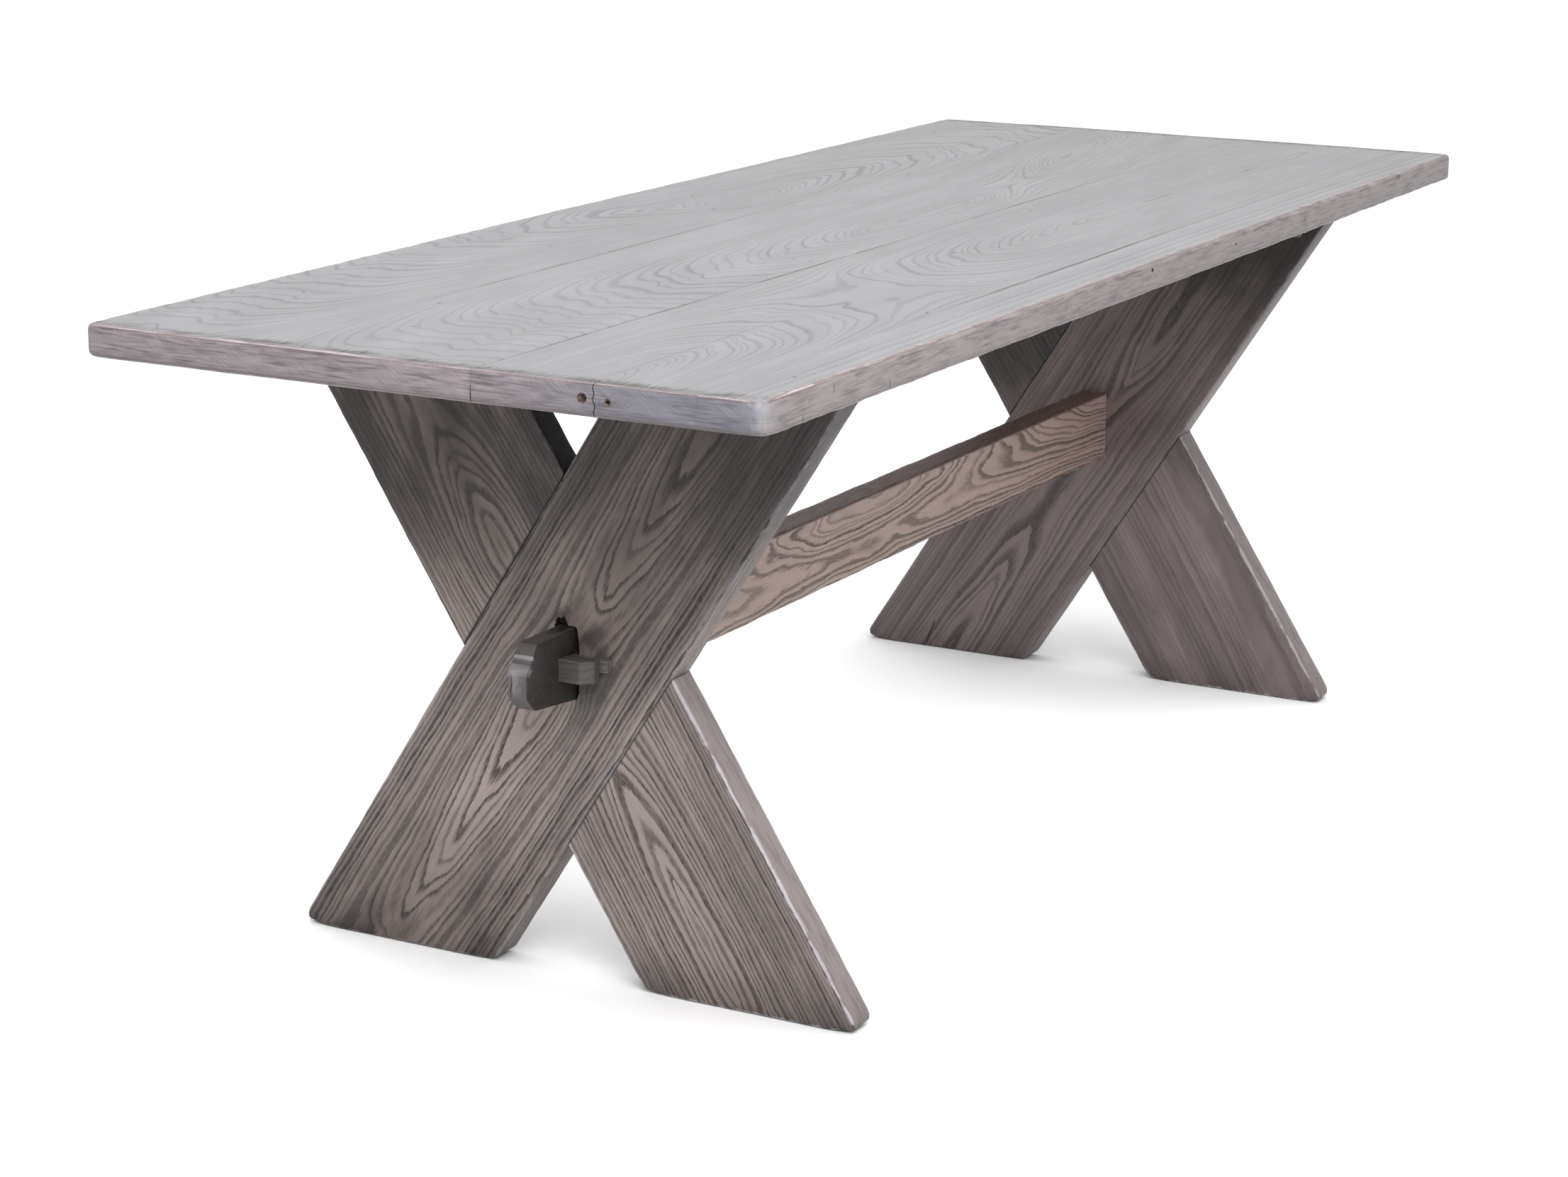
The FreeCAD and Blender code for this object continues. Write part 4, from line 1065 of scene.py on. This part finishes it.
def make_stretcher():
    """One rail with a shaped tenon and a wedge slot at each end."""
    low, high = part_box("stretcher")
    foot, head = low.z / MM, high.z / MM
    shoulder = TRESTLE_FACE - LEG_THICKNESS
    piece = board("stretcher_timber", (head - foot, 40.0), (-shoulder, shoulder), (3.0, 3.0, 3.0, 3.0),
                  end_arris=2.0, wander=0.5, seed=4.4)
    stand = ((0.0, 0.0, (foot + head) / 2.0), ((1, 0, 0), (0, 0, 1), (0, -1, 0)))
    place(piece, stand)
    tenons, marks, checks = [], [], []
    near, far, slot_foot, slot_head = SLOT
    for end in (-1, 1):
        outline = [(shoulder - 6, 320), *TENON_HEAD, (shoulder - 6, 400)]
        tenon = prism("tenon_tool", [(end * x, z) for x, z in outline][::end], -TENON_HALF, TENON_HALF,
                      "xzy")
        ease(tenon, 1.3, segments=2, angle=20.0)
        slot_low, slot_high = sorted((end * near, end * far))
        cut(tenon, prism("slot_tool", [(slot_low, slot_foot), (slot_high, slot_foot),
                                       (slot_high, slot_head), (slot_low, slot_head)],
                         -CUT_THROUGH, CUT_THROUGH, "xzy"))
        tenons.append(tenon)
        marks += [
            # Painted highlights on the tenon's top facets and its end.
            spot((end * 812.4, 23.0, 0.0), (3.0, 3.6, 90.0), PAINTED_HIGHLIGHT, 0.45, 1.2, 0.0, 0.7),
            spot((end * 822.0, 11.0, 0.0), (9.0, 8.0, 90.0), PAINTED_HIGHLIGHT, 0.38, 1.6, 0.0, 0.9),
            spot((end * 825.0, 0.0, -3.0), (5.0, 22.0, 10.0), PAINTED_HIGHLIGHT, 0.25, 1.6, 0.0, 0.9),
            spot((end * 736.0, 34.0, 0.0), (34.0, 18.0, 16.0), GRIME, 0.85, 0.8, 0.0, 0.8),
            spot((end * 744.0, -34.0, 0.0), (34.0, 18.0, 16.0), GRIME, 0.85, 0.8, 0.0, 0.8),
        ]
    combine(piece, "UNION", tenons)
    finish = timber("stretcher_timber", stand, (shoulder, 46.0, 20.0), RAIL_DEPTH, RAIL_ACROSS,
                    RAIL_TONES, rings=(7.4, 5.0), seed=21.0, arris_reach=4.0, wander=5.0,
                    heart_reach=52.0, level_depth=22.0, arris_strength=0.35, ends=TENON_TONES,
                    edge_face=RAIL_EDGE, late_wood=0.34, dashes=-0.3, contrast=0.9, comb=0.25,
                    fibre_strength=0.15, marks=marks)
    dress(piece, finish, "stretcher_wood", "stretcher")
    for end in (-1, 1):
        checks.append(hollow(crack("check_tool", CHECK, 1.0, *sorted((end * 826.0, end * 812.0)))))
    cut(piece, *checks)
    smooth(piece)


def make_wedges():
    """A pair of folding wedges through each tenon, driven from opposite sides."""
    key_face, slip_face = WEDGES_MEET + WEDGE_GAP, TRESTLE_FACE + WEDGE_GAP
    shapes = {
        "key": ([(key_face - 50.0 * WEDGE_TAPER, -50.0), (750.95, -50.0), (761.95, -39.0),
                 (761.95, 46.0), (key_face + 46.0 * WEDGE_TAPER, 46.0)], 348.55, 374.55, 2.4),
        "slip": ([(slip_face, -59.0), (WEDGES_MEET - 59.0 * WEDGE_TAPER, -59.0),
                  (WEDGES_MEET + 40.0 * WEDGE_TAPER, 40.0), (slip_face, 40.0)], 358.5, 371.9, 1.4),
    }
    for side, turn in (("left", 1), ("right", -1)):
        for kind, (outline, low, high, rounding) in shapes.items():
            node = f"{side}_{kind}_wedge"
            piece = prism(node + "_timber", [(-turn * x, turn * y) for x, y in outline], low, high)
            stand = ((-turn * WEDGES_MIDDLE, 0.0, (low + high) / 2.0), ((0, 1, 0), (-1, 0, 0), (0, 0, 1)))
            ease(piece, rounding)
            smooth(piece)
            half_height = (high - low) / 2.0
            finish = timber(node + "_timber", stand, (50.0, 14.0, half_height), [(-60, 40), (60, 34)],
                            [(-60, 12), (60, 8)], WEDGE_TONES, face=half_height, rings=(9.0, 6.0),
                            seed=30.0 + 2.0 * len(kind) + turn, wander=2.5, arris_reach=1.6,
                            contrast=0.6, arris_strength=0.4, band_strength=(0.45, 0.45))
            dress(piece, finish, "wedge_wood", node, body=node)


# ---------------------------------------------------------------- under the top
def make_cleats():
    """A bar inside each trestle, under the top, with bevelled ends."""
    low_z, high_z = CLEAT_HEIGHT
    run, rise = CLEAT_BEVEL
    for side, end in (("left", -1), ("right", 1)):
        node = f"{side}_top_cleat"
        outline = [(-CLEAT_HALF + run, low_z), (CLEAT_HALF - run, low_z), (CLEAT_HALF, low_z + rise),
                   (CLEAT_HALF, high_z), (-CLEAT_HALF, high_z), (-CLEAT_HALF, low_z + rise)]
        low_x, high_x = sorted((end * CLEAT_SPAN[0], end * CLEAT_SPAN[1]))
        piece = prism(node + "_timber", outline, low_x, high_x, "yzx")
        stand = (((low_x + high_x) / 2.0, 0.0, (low_z + high_z) / 2.0),
                 ((0, 1, 0), (-1, 0, 0), (0, 0, 1)))
        ease(piece, 1.5)
        smooth(piece)
        finish = timber(node + "_timber", stand, (CLEAT_HALF, 22.5, 20.0), [(-340, 30), (340, 44)],
                        [(-340, -30), (340, -10)], LEG_TONES, rings=(7.0, 4.0), seed=40.0 + end)
        dress(piece, finish, "cleat_wood", node)


def steel(name):
    """Old zinc-plated steel gone dull, with rust in the corners."""
    material, desk, shader, place_mm = new_finish(name)
    cloud = desk.noise(desk.vector("DIVIDE", place_mm, (5.0, 5.0, 5.0)), 4.0, 0.6)
    rust = desk.fit(cloud, 0.45, 0.62)
    desk.feed(shader["Base Color"], desk.mix(rust, tone(132, 130, 128), tone(96, 66, 50)))
    desk.feed(shader["Metallic"], desk.fit(rust, 0.0, 1.0, 0.9, 0.15))
    desk.feed(shader["Roughness"], desk.fit(rust, 0.0, 1.0, 0.38, 0.8))
    desk.bump(shader, cloud, 0.3, 0.0003)
    return material


def finish_screws():
    """The screws keep their own shape and get a dull steel finish."""
    finish = steel("dull_steel")
    for side in ("left", "right"):
        for row in ("top", "leg"):
            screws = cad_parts[f"{side}_cleat_{row}_screws"]
            screws.data.materials.clear()
            screws.data.materials.append(finish)
            smooth(screws, 30.0)


# ---------------------------------------------------------------- studio
ROOM_LIGHT = 0.34
FLOOR_DROP = 0.0004
LOOKED_AT = (0.0, 0.0, 0.4)
CAMERA_AT = (-3.79967, -1.92729, 1.39159)
CAMERA_TURN = (75.33123, -0.34604, -61.51455)


def grey(level):
    return (level, level, level, 1.0)


def seen_rays(desk):
    """One where a ray comes from the camera, a gloss or a clear piece."""
    paths = desk.add("ShaderNodeLightPath").outputs
    camera, glossy, clear = [Reading(desk, paths[f"Is {kind} Ray"])
                             for kind in ("Camera", "Glossy", "Transmission")]
    return desk.math("MAXIMUM", camera, desk.math("MAXIMUM", glossy, clear))


def floor_finish():
    """A pale floor that keeps soft shadows, with painted contact shadows where ambient occlusion dims its
    glow, and meets the white background; clear from below.
    """
    material = bpy.data.materials.new("studio_floor")
    material.use_nodes = True
    material.node_tree.nodes.clear()
    desk = Desk(material.node_tree)
    plain = desk.read("ShaderNodeBsdfDiffuse", {"Color": grey(0.6)})
    shown = desk.read("ShaderNodeBsdfDiffuse", {"Color": grey(0.95)})
    # Ambient occlusion dims the floor's glow near the table: painted contact shadow.
    near = desk.read("ShaderNodeAmbientOcclusion", {"Distance": 0.3}, "AO", samples=8)
    glow_with_contact_shade = desk.read("ShaderNodeEmission", {"Color": grey(0.72), "Strength": near ** 1.6})
    both = desk.read("ShaderNodeAddShader", (shown, glow_with_contact_shade))
    choice = desk.read("ShaderNodeMixShader", (seen_rays(desk), plain, both))
    from_below = desk.read("ShaderNodeNewGeometry", output="Backfacing")
    clear = desk.read("ShaderNodeBsdfTransparent")
    surface = desk.read("ShaderNodeMixShader", (from_below, choice, clear))
    desk.add("ShaderNodeOutputMaterial", {"Surface": surface})
    return material


def make_floor():
    shape = bmesh.new()
    bmesh.ops.create_grid(shape, x_segments=24, y_segments=24, size=14.0)
    mesh = bpy.data.meshes.new("studio_floor")
    shape.to_mesh(mesh)
    shape.free()
    floor = stand_up("studio_floor", mesh)
    floor.location.z = -FLOOR_DROP
    mesh.materials.append(floor_finish())


def make_world():
    world = bpy.data.worlds.new("studio")
    bpy.context.scene.world = world
    world.use_nodes = True
    desk = Desk(world.node_tree)
    back = world.node_tree.nodes["Background"].inputs
    back["Color"].default_value = grey(1.0)
    desk.feed(back["Strength"], desk.fit(seen_rays(desk), 0.0, 1.0, ROOM_LIGHT, 1.0, soft=False))


def lamp(name, at, size, watts):
    """A rectangular softbox, turned to the middle of the table."""
    light = bpy.data.lights.new(name, "AREA")
    light.shape = "RECTANGLE"
    light.size, light.size_y = size
    light.energy = watts
    holder = stand_up(name, light)
    holder.location = at
    holder.rotation_euler = (Vector(LOOKED_AT) - Vector(at)).to_track_quat("-Z", "Y").to_euler()


def make_camera():
    view = bpy.data.cameras.new("camera")
    view.sensor_width = 36.0
    view.lens = 80.13
    holder = stand_up("camera", view)
    holder.location = CAMERA_AT
    holder.rotation_euler = [math.radians(angle) for angle in CAMERA_TURN]
    bpy.context.scene.camera = holder


make_top()
make_trestle("left", -708.0)
make_trestle("right", 708.0)
make_stretcher()
make_wedges()
make_cleats()
finish_screws()
make_floor()
make_world()
lamp("overhead_softbox", (-0.2, 0.0, 3.4), (3.2, 2.4), 56.0)
lamp("front_softbox", (-3.2, -2.1, 3.5), (2.6, 2.0), 112.0)
make_camera()
bpy.context.scene.view_settings.view_transform = "Standard"
